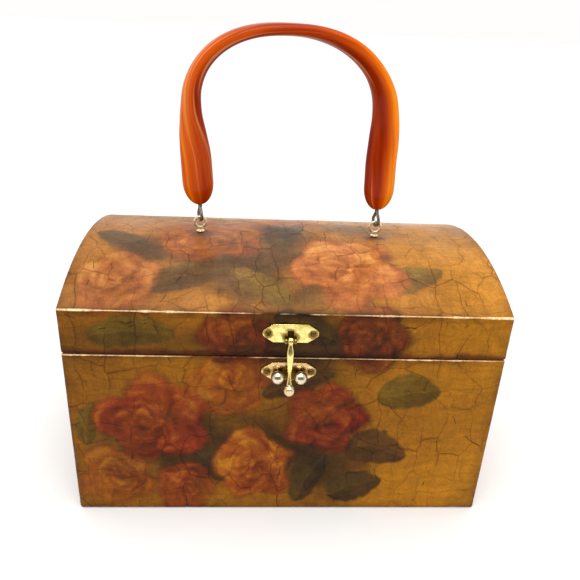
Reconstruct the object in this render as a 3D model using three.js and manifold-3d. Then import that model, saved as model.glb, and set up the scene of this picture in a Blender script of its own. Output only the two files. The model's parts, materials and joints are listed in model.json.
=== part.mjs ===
// A dome-topped wooden box purse: a board box, a hinged arched lid, a front clasp whose arm drops
// between two ball studs, and a twisted amber handle linked to two eyes on the lid.
// Millimetres, +Z up, front towards -Y. The origin is the middle of the underside.

import * as THREE from "three";
import { mergeVertices } from "three/addons/utils/BufferGeometryUtils.js";
import Module from "manifold-3d";

const wasm = await Module();
wasm.setup();

// Box and lid boards
const WIDTH = 230;
const DEPTH = 145;
const BOX_HEIGHT = 102;
const WALL = 6;
const BASE_THICK = 5;
const SEAM = 0.4; // gap between the box and the closed lid
const LID_EDGE_Z = 127.4; // top of the lid's straight front and back faces
const DOME_RISE = 16.5; // crest above that edge
const DOME_THICK = 3.5;
const DOME_STEPS = 24;
const RAIL_STEPS = 2;
const FIT = 0.2; // gap between pieces that are glued, nailed or seated on each other

// Linked eyes: a ring on the lid, and a wire loop in each foot of the handle
const EYE_SPREAD = 51.7; // each eye from the handle's middle
const HANDLE_X = 1.2; // the handle stands a little right of the middle
const RING = { radius: 3.2, wire: 0.82, centreZ: 149.7, sides: 16 };
const COLLAR = { radius: 2.35, edge: 0.5, height: 1.2, neck: 0.95 };
const LOOP = { radius: 3, wire: 0.93, height: 9, drop: 2, turn: -68, arcSteps: 10, legSteps: 3 }; // degrees
const STUB = { radius: 1.25, foot: 6.2, top: 7.6, shank: 0.75, shankTop: 12 };
const WIRE_SIDES = 6;

// Handle: half of its sections, from a foot to the crown, the other half mirrored.
// spread is from the middle, height above the ground, wide and thick are the oval's axes, and
// the twists, in degrees, turn its wide axis out of the handle's plane on the left and right side.
const HANDLE_LEAN = 4.6; // the crown leans this far to the left of the feet
const HANDLE_FOOT_Z = 160.8;
const HANDLE_SIDES = 16;
const HANDLE_ROUNDNESS = 2.3; // exponent of the oval, 2 is an ellipse
const FOOT_CAP = { length: 13.5, blunt: 0.5, steps: 6 };
const SHAFT_STEPS = 3; // rings between two rows
const BORE = { radius: 1.1, depth: 4.8, sides: 10 };
const HALF_HANDLE = [
  { spread: EYE_SPREAD, height: HANDLE_FOOT_Z, wide: 17.6, thick: 10.0, twistLeft: 0, twistRight: 0 },
  { spread: 52.1, height: 175.0, wide: 17.6, thick: 10.0, twistLeft: 3, twistRight: 2 },
  { spread: 52.3, height: 188.0, wide: 17.5, thick: 9.8, twistLeft: 10, twistRight: 9 },
  { spread: 53.1, height: 201.0, wide: 17.0, thick: 9.4, twistLeft: 32, twistRight: 17 },
  { spread: 53.3, height: 213.0, wide: 15.9, thick: 9.0, twistLeft: 53, twistRight: 37 },
  { spread: 51.7, height: 225.1, wide: 14.9, thick: 8.6, twistLeft: 64, twistRight: 46 },
  { spread: 46.9, height: 235.5, wide: 14.0, thick: 8.1, twistLeft: 71, twistRight: 56 },
  { spread: 39.2, height: 244.0, wide: 13.2, thick: 7.6, twistLeft: 75, twistRight: 59 },
  { spread: 28.8, height: 250.4, wide: 12.6, thick: 7.1, twistLeft: 79, twistRight: 65 },
  { spread: 16.0, height: 254.3, wide: 12.2, thick: 6.7, twistLeft: 84, twistRight: 75 },
  { spread: 0.0, height: 255.6, wide: 12.0, thick: 6.5, twistLeft: 90, twistRight: 90 },
];

// Clasp on the front face: two plates, two ball studs and the arm
const CLASP_X = 0.6;
const PLATE = { width: 28.6, height: 10.3, thick: 0.9, straight: 17.6, lobe: 2.9 };
const PLATE_CURVE_STEPS = 6;
const UPPER_PLATE_Z = 116.75;
const LOWER_PLATE_Z = 94.4;
const NAIL = { spread: 11.4, hole: 0.9, head: 1.55, shoulder: 1.4, crown: 0.78, dome: 0.8, shank: 0.55 };
const NOTCH = { half: 1.45, topZ: 118.2 };
const PIVOT = { z: 113.3, out: 2.7, pin: 0.7 }; // out is the distance in front of the front face
const LUG = { inner: 1.5, outer: 3.1, radius: 1.5, sides: 12 };
const STUD = { spread: 5.9, z: 93.4, ball: 3.6, ballOut: 4.0, flange: 1.9, flangeThick: 0.5, neck: 1.2 };
const BALL_STEPS = 8;
const ARM_EYE = { outer: 2.1, bore: 1.05, half: 1.2, sides: 16 };
const KNOB = { radius: 3.1, sides: 14, bands: 10 };
const ARM_SIDES = 10;
const ARM_STEPS = 16;
// Sections of the arm: drop below the pivot, distance in front of the front face, oval axes
const ARM = [
  { drop: 1.5, out: 3.1, wide: 2.0, deep: 1.4 },
  { drop: 5.8, out: 4.9, wide: 3.4, deep: 1.6 },
  { drop: 11.0, out: 5.7, wide: 3.0, deep: 1.6 },
  { drop: 17.3, out: 6.2, wide: 1.9, deep: 1.6 },
  { drop: 21.6, out: 7.3, wide: 2.4, deep: 1.9 },
  { drop: 25.4, out: 8.8, wide: 4.8, deep: 2.6 },
];

// Back hinges: leaf on the board, barrel with a middle knuckle on the lid's leaf
const HINGE = { spread: 70, half: 13, leaf: 12, thick: 0.9, out: 2.6, relief: 2.6 };
const KNUCKLE = { radius: 2.2, bore: 1.4, pin: 1.0, inner: 4.0, start: 4.3, end: 12, sides: 14 };

const LATHE_SIDES = 14;

// Values worked out from the driving dimensions
const HALF_W = WIDTH / 2;
const HALF_D = DEPTH / 2;
const LID_Z = BOX_HEIGHT + SEAM;
const SEAM_Z = BOX_HEIGHT + SEAM / 2;
const CREST_Z = LID_EDGE_Z + DOME_RISE;
const DOME_R = (HALF_D ** 2 + DOME_RISE ** 2) / (2 * DOME_RISE);
const DOME_CENTRE_Z = CREST_Z - DOME_R;
const UNDER_DOME_R = DOME_R - DOME_THICK - FIT;
const SWING_Z = RING.centreZ + RING.radius; // the handle turns on the top of the lid's rings
const CROWN_Z = HALF_HANDLE.at(-1).height;
const END_Y = HALF_D - WALL - FIT; // the end boards stand between front and back
const INNER_X = HALF_W - WALL - FIT;

const FINISH = {
  panel: { color: 0xb27a2e, roughness: 0.35, metalness: 0 },
  amber: { color: 0xc9501c, roughness: 0.2, metalness: 0 },
  brass: { color: 0xd6b25e, roughness: 0.28, metalness: 1 },
  silver: { color: 0xc9c6bd, roughness: 0.2, metalness: 1 },
  steel: { color: 0x77736c, roughness: 0.35, metalness: 1 },
  nail: { color: 0x6f5426, roughness: 0.45, metalness: 1 },
};

// Sets an extruded (y, z) profile so that its depth runs along +X
const PROFILE_AXES = new THREE.Matrix4().makeBasis(
  new THREE.Vector3(0, 1, 0),
  new THREE.Vector3(0, 0, 1),
  new THREE.Vector3(1, 0, 0),
);
const QUARTER = Math.PI / 2;

function addMesh(parent, name, geometry, finish) {
  const mesh = new THREE.Mesh(geometry, new THREE.MeshStandardMaterial(finish));
  mesh.name = name;
  parent.add(mesh);
  return mesh;
}

function addGroup(parent, x = 0, y = 0, z = 0) {
  const group = new THREE.Group();
  group.position.set(x, y, z);
  parent.add(group);
  return group;
}

// Closed solids for joining and cutting
function solidOf(geometry) {
  const bare = geometry.clone();
  bare.deleteAttribute("normal");
  bare.deleteAttribute("uv");
  const merged = mergeVertices(bare);
  const corners = merged.index.array;
  const kept = [];
  for (let i = 0; i < corners.length; i += 3) {
    const [a, b, c] = corners.slice(i, i + 3);
    if (a !== b && b !== c && c !== a) {
      kept.push(a, b, c);
    }
  }
  const vertProperties = new Float32Array(merged.attributes.position.array);
  const triVerts = new Uint32Array(kept);
  return new wasm.Manifold(new wasm.Mesh({ numProp: 3, vertProperties, triVerts }));
}

function geometryOf(solid) {
  const { vertProperties, triVerts } = solid.getMesh();
  const geometry = new THREE.BufferGeometry();
  geometry.setAttribute("position", new THREE.BufferAttribute(vertProperties, 3));
  geometry.setIndex(new THREE.BufferAttribute(triVerts, 1));
  return geometry;
}

function join(...geometries) {
  const solids = geometries.map(solidOf);
  return geometryOf(solids.reduce((whole, solid) => whole.add(solid)));
}

function cut(geometry, ...tools) {
  return geometryOf(tools.map(solidOf).reduce((rest, tool) => rest.subtract(tool), solidOf(geometry)));
}

// A closed skin through rings of points, each ring turning right-handed about the way forward
function loft(rings) {
  const sides = rings[0].length;
  const positions = rings.flat().flatMap((point) => point.toArray());
  const indices = [];
  for (let ring = 0; ring + 1 < rings.length; ring += 1) {
    for (let side = 0; side < sides; side += 1) {
      const next = (side + 1) % sides;
      const here = ring * sides;
      const ahead = here + sides;
      indices.push(here + side, here + next, ahead + side);
      indices.push(here + next, ahead + next, ahead + side);
    }
  }
  const last = (rings.length - 1) * sides;
  for (let side = 1; side + 1 < sides; side += 1) {
    indices.push(0, side + 1, side);
    indices.push(last, last + side, last + side + 1);
  }
  const geometry = new THREE.BufferGeometry();
  geometry.setAttribute("position", new THREE.Float32BufferAttribute(positions, 3));
  geometry.setIndex(indices);
  return geometry;
}

// An oval swept along a curve that lies in a plane. sectionAt gives the oval's axes and twist.
function sweepOval(curve, stations, planeNormal, sides, roundness, sectionAt) {
  const power = 2 / roundness;
  const rings = stations.map((station) => {
    const centre = curve.getPoint(station);
    const inward = new THREE.Vector3().crossVectors(planeNormal, curve.getTangent(station));
    const { wide, thick, twist } = sectionAt(station);
    const [turn, rise] = [Math.cos(twist), Math.sin(twist)];
    const long = inward.clone().multiplyScalar(turn).addScaledVector(planeNormal, -rise);
    const short = inward.clone().multiplyScalar(rise).addScaledVector(planeNormal, turn);
    return Array.from({ length: sides }, (_, side) => {
      const angle = (2 * Math.PI * side) / sides;
      const along = Math.sign(Math.cos(angle)) * Math.abs(Math.cos(angle)) ** power;
      const across = Math.sign(Math.sin(angle)) * Math.abs(Math.sin(angle)) ** power;
      return centre
        .clone()
        .addScaledVector(long, (wide / 2) * along)
        .addScaledVector(short, (thick / 2) * across);
    });
  });
  return loft(rings);
}

function evenStations(steps) {
  return Array.from({ length: steps + 1 }, (_, step) => step / steps);
}

// A turned piece about local Y from (radius, height) points
function latheOf(profile) {
  const points = profile.map(([radius, height]) => new THREE.Vector2(radius, height));
  return new THREE.LatheGeometry(points, LATHE_SIDES);
}

// A round bar along X
function barAlongX(radius, x0, x1, sides) {
  const bar = new THREE.CylinderGeometry(radius, radius, x1 - x0, sides);
  return bar.rotateZ(QUARTER).translate((x0 + x1) / 2, 0, 0);
}

function addBoard(parent, name, [x0, x1], [y0, y1], [z0, z1]) {
  const geometry = new THREE.BoxGeometry(x1 - x0, y1 - y0, z1 - z0);
  const board = addMesh(parent, name, geometry, FINISH.panel);
  board.position.set((x0 + x1) / 2, (y0 + y1) / 2, (z0 + z1) / 2);
}

// Boards of the lid are (y, z) profiles under the dome's arc, extruded along X
function archPoints(radius, fromY, toY, steps) {
  return evenStations(steps).map((station) => {
    const angle = THREE.MathUtils.lerp(Math.asin(fromY / radius), Math.asin(toY / radius), station);
    return new THREE.Vector2(radius * Math.sin(angle), DOME_CENTRE_Z + radius * Math.cos(angle));
  });
}

function addProfile(parent, name, outline, [x0, x1]) {
  const options = { depth: x1 - x0, bevelEnabled: false };
  const geometry = new THREE.ExtrudeGeometry(new THREE.Shape(outline), options);
  const board = addMesh(parent, name, geometry, FINISH.panel);
  board.setRotationFromMatrix(PROFILE_AXES);
  board.position.x = x0;
}

function lidProfile(y0, y1, steps) {
  const foot = [new THREE.Vector2(y0, LID_Z), new THREE.Vector2(y1, LID_Z)];
  return [...foot, ...archPoints(UNDER_DOME_R, y1, y0, steps)];
}

function addBox(parent) {
  const upright = [0, BOX_HEIGHT];
  addBoard(parent, "front_wall", [-HALF_W, HALF_W], [-HALF_D, WALL - HALF_D], upright);
  addBoard(parent, "back_wall", [-HALF_W, HALF_W], [HALF_D - WALL, HALF_D], upright);
  addBoard(parent, "left_wall", [-HALF_W, WALL - HALF_W], [-END_Y, END_Y], upright);
  addBoard(parent, "right_wall", [HALF_W - WALL, HALF_W], [-END_Y, END_Y], upright);
  addBoard(parent, "base_panel", [-INNER_X, INNER_X], [-END_Y, END_Y], [0, BASE_THICK]);
}

function addLid(parent) {
  const full = [-HALF_W, HALF_W];
  addProfile(parent, "lid_front_rail", lidProfile(-HALF_D, WALL - HALF_D, RAIL_STEPS), full);
  addProfile(parent, "lid_back_rail", lidProfile(HALF_D - WALL, HALF_D, RAIL_STEPS), full);
  const end = lidProfile(-END_Y, END_Y, DOME_STEPS);
  addProfile(parent, "lid_left_end", end, [-HALF_W, WALL - HALF_W]);
  addProfile(parent, "lid_right_end", end, [HALF_W - WALL, HALF_W]);
  const outer = archPoints(DOME_R, -HALF_D, HALF_D, DOME_STEPS);
  const inner = archPoints(DOME_R - DOME_THICK, HALF_D, -HALF_D, DOME_STEPS);
  addProfile(parent, "dome_panel", [...outer, ...inner], full);
}

// Screw eye: a flared collar seated on the dome and a wire ring, local Y up from the seat
function lidEye(seatZ) {
  const ringHeight = RING.centreZ - seatZ;
  const neckTop = ringHeight - RING.radius;
  const collar = latheOf([
    [0, 0],
    [COLLAR.radius, 0],
    [COLLAR.radius, COLLAR.edge],
    [COLLAR.neck, COLLAR.height],
    [COLLAR.neck, neckTop],
    [0, neckTop],
  ]);
  const ring = new THREE.TorusGeometry(RING.radius, RING.wire, WIRE_SIDES, RING.sides);
  return join(ring.translate(0, ringHeight, 0), collar);
}

// Teardrop wire loop hung below a stub and shank, local Y up from the swing axis
function handleEye() {
  const apex = LOOP.height - LOOP.drop;
  const arcCentre = LOOP.radius - LOOP.drop;
  const meet = Math.PI - Math.acos(LOOP.radius / (LOOP.height - LOOP.radius));
  const arc = evenStations(LOOP.arcSteps).map((station) => {
    const angle = THREE.MathUtils.lerp(-meet, meet, station);
    const x = LOOP.radius * Math.sin(angle);
    return new THREE.Vector3(x, arcCentre - LOOP.radius * Math.cos(angle), 0);
  });
  const top = new THREE.Vector3(0, apex, 0);
  const legs = evenStations(LOOP.legSteps).slice(1);
  const goingDown = legs.map((station) => new THREE.Vector3().lerpVectors(arc[0], top, station)).reverse();
  const goingUp = legs.map((station) => new THREE.Vector3().lerpVectors(arc.at(-1), top, station));
  const points = [...goingDown, ...arc, ...goingUp];
  const curve = new THREE.CatmullRomCurve3(points);
  const wire = { wide: 2 * LOOP.wire, thick: 2 * LOOP.wire, twist: 0 };
  const plane = new THREE.Vector3(0, 0, 1);
  const loop = sweepOval(curve, evenStations(points.length - 1), plane, WIRE_SIDES, 2, () => wire);
  const stub = latheOf([
    [0, STUB.foot],
    [STUB.radius, STUB.foot],
    [STUB.radius, STUB.top],
    [STUB.shank, STUB.top],
    [STUB.shank, STUB.shankTop],
    [0, STUB.shankTop],
  ]);
  return join(loop, stub);
}

function addEyes(lid, handle) {
  const seatZ = CREST_Z + FIT;
  for (const [side, name] of [[-1, "left"], [1, "right"]]) {
    const eye = addMesh(lid, `lid_eye_${name}`, lidEye(seatZ), FINISH.brass);
    eye.position.set(HANDLE_X + side * EYE_SPREAD, 0, seatZ);
    eye.rotation.x = QUARTER;
    const turned = addGroup(handle, side * EYE_SPREAD);
    turned.rotation.z = THREE.MathUtils.degToRad(LOOP.turn);
    addMesh(turned, `handle_eye_${name}`, handleEye(), FINISH.steel).rotation.x = QUARTER;
  }
}

// The amber bar, in the handle's frame: its middle at the swing axis
function handleGrip() {
  const left = HALF_HANDLE.map((row) => ({ ...row, side: -1, twist: row.twistLeft }));
  const right = HALF_HANDLE.map((row) => ({ ...row, side: 1, twist: 180 - row.twistRight }));
  const rows = [...left, ...right.slice(0, -1).reverse()];
  const points = rows.map(({ side, spread, height }) => {
    const rise = (height - HANDLE_FOOT_Z) / (CROWN_Z - HANDLE_FOOT_Z);
    return new THREE.Vector3(side * spread - HANDLE_LEAN * rise, 0, height - SWING_Z);
  });
  const curve = new THREE.CatmullRomCurve3(points);
  const { degToRad } = THREE.MathUtils;
  const sizes = rows.map((row) => new THREE.Vector3(row.wide, row.thick, degToRad(row.twist)));
  const sizeCurve = new THREE.CatmullRomCurve3(sizes);

  const gaps = rows.length - 1;
  const stations = [0];
  for (let gap = 0; gap < gaps; gap += 1) {
    const steps = gap === 0 || gap === gaps - 1 ? FOOT_CAP.steps : SHAFT_STEPS;
    for (let step = 1; step <= steps; step += 1) {
      stations.push((gap + step / steps) / gaps);
    }
  }
  const feet = [points[0], points.at(-1)];
  const sectionAt = (station) => {
    const size = sizeCurve.getPoint(station);
    const centre = curve.getPoint(station);
    const fromFoot = Math.min(...feet.map((foot) => foot.distanceTo(centre)));
    const left = Math.max(0, 1 - (fromFoot + FOOT_CAP.blunt) / FOOT_CAP.length);
    const cap = Math.sqrt(1 - left ** 2);
    return { wide: size.x * cap, thick: size.y * cap, twist: size.z };
  };
  const plane = new THREE.Vector3(0, 1, 0);
  const bar = sweepOval(curve, stations, plane, HANDLE_SIDES, HANDLE_ROUNDNESS, sectionAt);
  const bores = feet.map((foot) => {
    const bore = new THREE.CylinderGeometry(BORE.radius, BORE.radius, 2 * BORE.depth, BORE.sides);
    return bore.rotateX(QUARTER).translate(foot.x, 0, foot.z);
  });
  return cut(bar, ...bores);
}

// Clasp plate outline in (x, z) about its middle: straight edges, sloping shoulders and round ends
function plateShape(notchTop = null) {
  const edgeX = PLATE.straight / 2;
  const edgeZ = PLATE.height / 2;
  const endX = PLATE.width / 2 - PLATE.lobe;
  // Where the shoulder from the corner touches the round end, as an angle about the end's middle
  const fromEnd = Math.hypot(edgeX - endX, edgeZ);
  const touch = Math.atan2(edgeZ, edgeX - endX) - Math.acos(PLATE.lobe / fromEnd);
  const shape = new THREE.Shape();
  shape.moveTo(-edgeX, -edgeZ);
  if (notchTop !== null) {
    shape.lineTo(-NOTCH.half, -edgeZ);
    shape.lineTo(-NOTCH.half, notchTop);
    shape.lineTo(NOTCH.half, notchTop);
    shape.lineTo(NOTCH.half, -edgeZ);
  }
  shape.lineTo(edgeX, -edgeZ);
  shape.absarc(endX, 0, PLATE.lobe, -touch, touch, false);
  shape.lineTo(edgeX, edgeZ);
  shape.lineTo(-edgeX, edgeZ);
  shape.absarc(-endX, 0, PLATE.lobe, Math.PI - touch, Math.PI + touch, false);
  for (const side of [-1, 1]) {
    const hole = new THREE.Path();
    hole.absarc(side * NAIL.spread, 0, NAIL.hole, 0, 2 * Math.PI, true);
    shape.holes.push(hole);
  }
  return shape;
}

function plateGeometry(shape) {
  const options = { depth: PLATE.thick, bevelEnabled: false, curveSegments: PLATE_CURVE_STEPS };
  return new THREE.ExtrudeGeometry(shape, options);
}

// Upper plate with two lugs and the pin across its notch
function upperPlate() {
  const plate = plateGeometry(plateShape(NOTCH.topZ - UPPER_PLATE_Z));
  const axisY = PIVOT.z - UPPER_PLATE_Z;
  const axisOut = PIVOT.out - FIT;
  const lugs = [-1, 1].flatMap((side) => {
    const [x0, x1] = side < 0 ? [-LUG.outer, -LUG.inner] : [LUG.inner, LUG.outer];
    const barrel = barAlongX(LUG.radius, x0, x1, LUG.sides).translate(0, axisY, axisOut);
    const web = new THREE.BoxGeometry(x1 - x0, 2 * LUG.radius, axisOut - PLATE.thick / 2);
    return [barrel, web.translate((x0 + x1) / 2, axisY, (axisOut + PLATE.thick / 2) / 2)];
  });
  const middle = (LUG.inner + LUG.outer) / 2;
  const pin = barAlongX(PIVOT.pin, -middle, middle, LUG.sides).translate(0, axisY, axisOut);
  return join(plate, ...lugs, pin);
}

function ballStud() {
  const neckAngle = Math.asin(STUD.neck / STUD.ball);
  const ball = evenStations(BALL_STEPS).map((station) => {
    const angle = THREE.MathUtils.lerp(Math.PI - neckAngle, 0, station);
    return [STUD.ball * Math.sin(angle), STUD.ballOut + STUD.ball * Math.cos(angle)];
  });
  ball.at(-1)[0] = 0; // the last point lies exactly on the axis
  const flange = [[0, 0], [STUD.flange, 0], [STUD.flange, STUD.flangeThick], [STUD.neck, STUD.flangeThick]];
  return latheOf([...flange, ...ball]);
}

function nail() {
  return latheOf([
    [0, -PLATE.thick],
    [NAIL.shank, -PLATE.thick],
    [NAIL.shank, 0],
    [NAIL.head, 0],
    [NAIL.shoulder, NAIL.dome / 2],
    [NAIL.crown, 0.9 * NAIL.dome],
    [0, NAIL.dome],
  ]);
}

// A piece built with local Z (plates) or local Y (turned pieces) standing out of the front face
function addPlate(parent, name, geometry, finish, x, z) {
  const plate = addMesh(parent, name, geometry, finish);
  plate.position.set(x, -HALF_D - FIT, z);
  plate.rotation.x = QUARTER;
}

function addTurned(parent, name, geometry, finish, x, z) {
  const turned = addMesh(parent, name, geometry, finish);
  turned.position.set(x, -HALF_D - FIT - PLATE.thick - FIT, z);
  turned.rotation.x = Math.PI;
}

function addClaspPlates(box, lid) {
  addPlate(lid, "upper_clasp_plate", upperPlate(), FINISH.brass, CLASP_X, UPPER_PLATE_Z);
  addPlate(box, "lower_clasp_plate", plateGeometry(plateShape()), FINISH.brass, CLASP_X, LOWER_PLATE_Z);
  for (const [side, name] of [[-1, "left"], [1, "right"]]) {
    const nailX = CLASP_X + side * NAIL.spread;
    addTurned(lid, `upper_nail_${name}`, nail(), FINISH.nail, nailX, UPPER_PLATE_Z);
    addTurned(box, `lower_nail_${name}`, nail(), FINISH.nail, nailX, LOWER_PLATE_Z);
    addTurned(box, `clasp_stud_${name}`, ballStud(), FINISH.silver, CLASP_X + side * STUD.spread, STUD.z);
  }
}

// The arm hangs from its pin, in a frame whose origin is the pivot
function claspArm() {
  const points = ARM.map((row) => new THREE.Vector3(0, PIVOT.out - row.out, -row.drop));
  const curve = new THREE.CatmullRomCurve3(points);
  const sizeCurve = new THREE.CatmullRomCurve3(ARM.map((row) => new THREE.Vector3(row.deep, row.wide, 0)));
  const sectionAt = (station) => {
    const size = sizeCurve.getPoint(station);
    return { wide: size.x, thick: size.y, twist: 0 };
  };
  const plane = new THREE.Vector3(1, 0, 0);
  const strip = sweepOval(curve, evenStations(ARM_STEPS), plane, ARM_SIDES, 2, sectionAt);
  const eye = barAlongX(ARM_EYE.outer, -ARM_EYE.half, ARM_EYE.half, ARM_EYE.sides);
  const knob = new THREE.SphereGeometry(KNOB.radius, KNOB.sides, KNOB.bands);
  const end = points.at(-1);
  const bore = barAlongX(ARM_EYE.bore, -2 * ARM_EYE.half, 2 * ARM_EYE.half, ARM_EYE.sides);
  return cut(join(strip, eye, knob.translate(end.x, end.y, end.z)), bore);
}

// Hinge leaf with its knuckles, in (x, z) about the barrel. up is 1 on the lid and -1 on the box.
function hingeLeaf(up, tabs, relief) {
  const leafMid = (up * (relief + HINGE.leaf)) / 2;
  const leaf = new THREE.BoxGeometry(2 * HINGE.half, HINGE.leaf - relief, HINGE.thick);
  const pieces = [leaf.translate(0, leafMid, HINGE.thick / 2)];
  const axisOut = HINGE.out - FIT;
  for (const [x0, x1] of tabs) {
    const tab = new THREE.BoxGeometry(x1 - x0, relief + HINGE.thick, HINGE.thick);
    const tabMid = (up * (relief + HINGE.thick)) / 2;
    pieces.push(tab.translate((x0 + x1) / 2, tabMid, HINGE.thick / 2));
    pieces.push(barAlongX(KNUCKLE.radius, x0, x1, KNUCKLE.sides).translate(0, 0, axisOut));
  }
  return { pieces, axisOut };
}

function lowerHinge() {
  const tabs = [[-KNUCKLE.end, -KNUCKLE.start], [KNUCKLE.start, KNUCKLE.end]];
  const { pieces, axisOut } = hingeLeaf(-1, tabs, HINGE.relief);
  const pinHalf = (KNUCKLE.start + KNUCKLE.end) / 2;
  const pin = barAlongX(KNUCKLE.pin, -pinHalf, pinHalf, KNUCKLE.sides);
  return join(...pieces, pin.translate(0, 0, axisOut));
}

function upperHinge() {
  const { pieces, axisOut } = hingeLeaf(1, [[-KNUCKLE.inner, KNUCKLE.inner]], HINGE.relief);
  const bore = barAlongX(KNUCKLE.bore, -KNUCKLE.start, KNUCKLE.start, KNUCKLE.sides);
  return cut(join(...pieces), bore.translate(0, 0, axisOut));
}

function addHinges(box, lid) {
  // Half a turn about Z puts pieces that are made for the front on the back
  const boxBack = addGroup(box);
  const lidBack = addGroup(lid);
  boxBack.rotation.z = Math.PI;
  lidBack.rotation.z = Math.PI;
  for (const [side, name] of [[1, "left"], [-1, "right"]]) {
    addPlate(boxBack, `hinge_lower_${name}`, lowerHinge(), FINISH.brass, side * HINGE.spread, SEAM_Z);
    addPlate(lidBack, `hinge_upper_${name}`, upperHinge(), FINISH.brass, side * HINGE.spread, SEAM_Z);
  }
}

const purse = new THREE.Group();
const box = addGroup(purse);
const lid = addGroup(purse);
const handle = addGroup(purse, HANDLE_X, 0, SWING_Z);
const clasp = addGroup(purse, CLASP_X, -HALF_D - PIVOT.out, PIVOT.z);
addBox(box);
addLid(lid);
addEyes(lid, handle);
addMesh(handle, "handle_grip", handleGrip(), FINISH.amber);
addClaspPlates(box, lid);
addMesh(clasp, "clasp_arm", claspArm(), FINISH.brass);
addHinges(box, lid);

export default purse;
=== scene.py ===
"""Looks of a dome-topped wooden box purse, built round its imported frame.

Sizes are millimetres in the frame's axes, +Z up and the front towards -Y. Meshes are made in metres.
Colours are written as sRGB from 0 to 255, and linear() turns them into light.
"""

import json
import math
from types import SimpleNamespace as Values

import bpy
import numpy as np
from mathutils import Matrix, Vector


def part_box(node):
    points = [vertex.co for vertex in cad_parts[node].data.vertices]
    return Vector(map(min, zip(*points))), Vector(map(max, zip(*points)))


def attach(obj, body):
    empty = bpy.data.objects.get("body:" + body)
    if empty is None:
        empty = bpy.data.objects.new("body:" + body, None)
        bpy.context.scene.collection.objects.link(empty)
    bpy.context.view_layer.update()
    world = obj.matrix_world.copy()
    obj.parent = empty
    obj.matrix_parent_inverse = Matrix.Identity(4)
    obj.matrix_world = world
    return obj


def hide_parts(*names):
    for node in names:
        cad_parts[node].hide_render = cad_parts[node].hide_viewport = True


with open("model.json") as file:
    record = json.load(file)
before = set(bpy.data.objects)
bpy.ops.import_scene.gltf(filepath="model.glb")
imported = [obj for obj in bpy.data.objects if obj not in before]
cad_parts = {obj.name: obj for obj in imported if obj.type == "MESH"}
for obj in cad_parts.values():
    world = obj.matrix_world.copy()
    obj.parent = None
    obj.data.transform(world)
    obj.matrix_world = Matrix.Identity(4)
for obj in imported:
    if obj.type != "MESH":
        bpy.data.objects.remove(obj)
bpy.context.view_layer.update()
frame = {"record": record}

MM = 0.001
RECORD = frame["record"]
BODY_OF = {node: body for body, nodes in RECORD["behaviour"]["bodies"].items() for node in nodes}
SLOT_OF = {part["node"]: part["material_slot"] for part in RECORD["subparts"]}


def span(node):
    """A CAD node's lowest and highest corner, in millimetres."""
    return [np.array(corner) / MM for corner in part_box(node)]


def table(columns, *rows):
    """The rows of a short table, with each row's values under the names of the columns."""
    return [Values(**dict(zip(columns.split(), row))) for row in rows]


# Camera and studio
CAMERA = Values(place=(-19.6, -341.8, 264.7), yaw=-3.963, pitch=24.7, roll=2.95)
LENS = Values(focal=37.74, sensor=36, near=10)
FLOOR = Values(half=9000, colour=(226, 225, 224), gloss=0.1, roughness=0.7)
WORLD = Values(colour=(255, 254, 252), strength=1.0)
STRIP = Values(place=(-60, -640, 1060), wide=1200, deep=32, radiance=36, aim=(0, 0, 120))
SUN = Values(tilt=8, width=46, share=0.45)
FLAG = Values(y=-760, half=820, low=20, high=1000, colour=(112, 106, 100), gloss=0.0, roughness=1.0)

# Boards: what the frame's boxes don't give
DOME_RISE = 16.5
DOME_THICK = 3.5
CORNER_ROUND = 1.6
SEAM_ROUND = 1.0
FOOT_ROUND = 1.2
ROUND_STEPS = 4
PAPER_PITCH = 0.9
PLAIN_PITCH = 2.4
THICK_PITCH = 2.0
WAVE = Values(height=0.16, size=30, fade=9)
CHIP = Values(depth=0.5, size=6, start=0.12)
WEAR = Values(reach=2.6, share=0.62, ragged=0.6, patch=9)
# The pale rubbed line on the top front edges: a painted highlight on rubbed paper
RUB_HIGHLIGHT = Values(reach=0.74, soft=0.45, share=0.6, ends=0.9, dash=8, dashes=0.6, patch=60, patches=0.35)
BOARD_SEED = Values(first=200, step=10, chip=3, wear=9, dash=11, patch=15)
SHARP_EDGE = 38  # degrees between faces that meet in an edge
SHARP_PLATE_EDGE = 50
PAIR = ((-1, "left"), (1, "right"))
# Distances that count as none, and one that is too far to matter
CLOSE = 1e-6
TINY = 1e-9
FAR = 99.0

# Values worked out from the frame
HALF_W = span("front_wall")[1][0]
HALF_D = -span("front_wall")[0][1]
BOX_TOP = span("front_wall")[1][2]
CREST = span("dome_panel")[1][2]
LID_EDGE = CREST - DOME_RISE
DOME_R = (HALF_D**2 + DOME_RISE**2) / (2 * DOME_RISE)
DOME_CENTRE = CREST - DOME_R
DOME_HALF_ARC = DOME_R * math.asin(HALF_D / DOME_R)
BACK_V = LID_EDGE + 2 * DOME_HALF_ARC

# The paper is one sheet: u runs across, v up the front, over the dome and down the back.
# A patch is the size of a noise's spots, and ragged is how far that noise moves an edge.
SEED = Values(ground=11, olive=21, wander_u=31, wander_v=41, age=51, fine_age=61, band=71, faded=81, stain=91)
GROUND = Values(light=(170, 110, 12), deep=(118, 68, 6), patch=70, drift=0.0036)
OLIVE = Values(colour=(104, 72, 4), patch=55, gain=0.9, start=0.05, share=0.5)
WANDER = Values(reach=3.0, patch=16)
# Painted shade on the lid's front just above the seam
LID_SEAM_SHADE = Values(height=5.0, tint=(168, 130, 110), soft=4, ragged=3, patch=14)
# Darkening round each eye seat on the dome: painted shade along with staining
EYE_SEAT_SHADE_AND_STAIN = Values(ahead=3.0, wide=17, high=13, tint=(128, 100, 72), reach=1.2, ragged=0.5, patch=6)
# Painted sheen on the dome, paled towards a light colour; the dome is painted lighter and the upright faces
# darker, as painted light and shade
DOME_SHEEN = Values(colour=(194, 150, 112), share=0.1, upright=0.79, lift=0.29, soft=2, ragged=0.6, patch=30)
AGE = table("depth patch seed", (0.22, 42, SEED.age), (0.14, 7, SEED.fine_age))
SHADE = Values(colour=(40, 25, 8), reach=1.3, ragged=0.5, patch=16)
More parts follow.
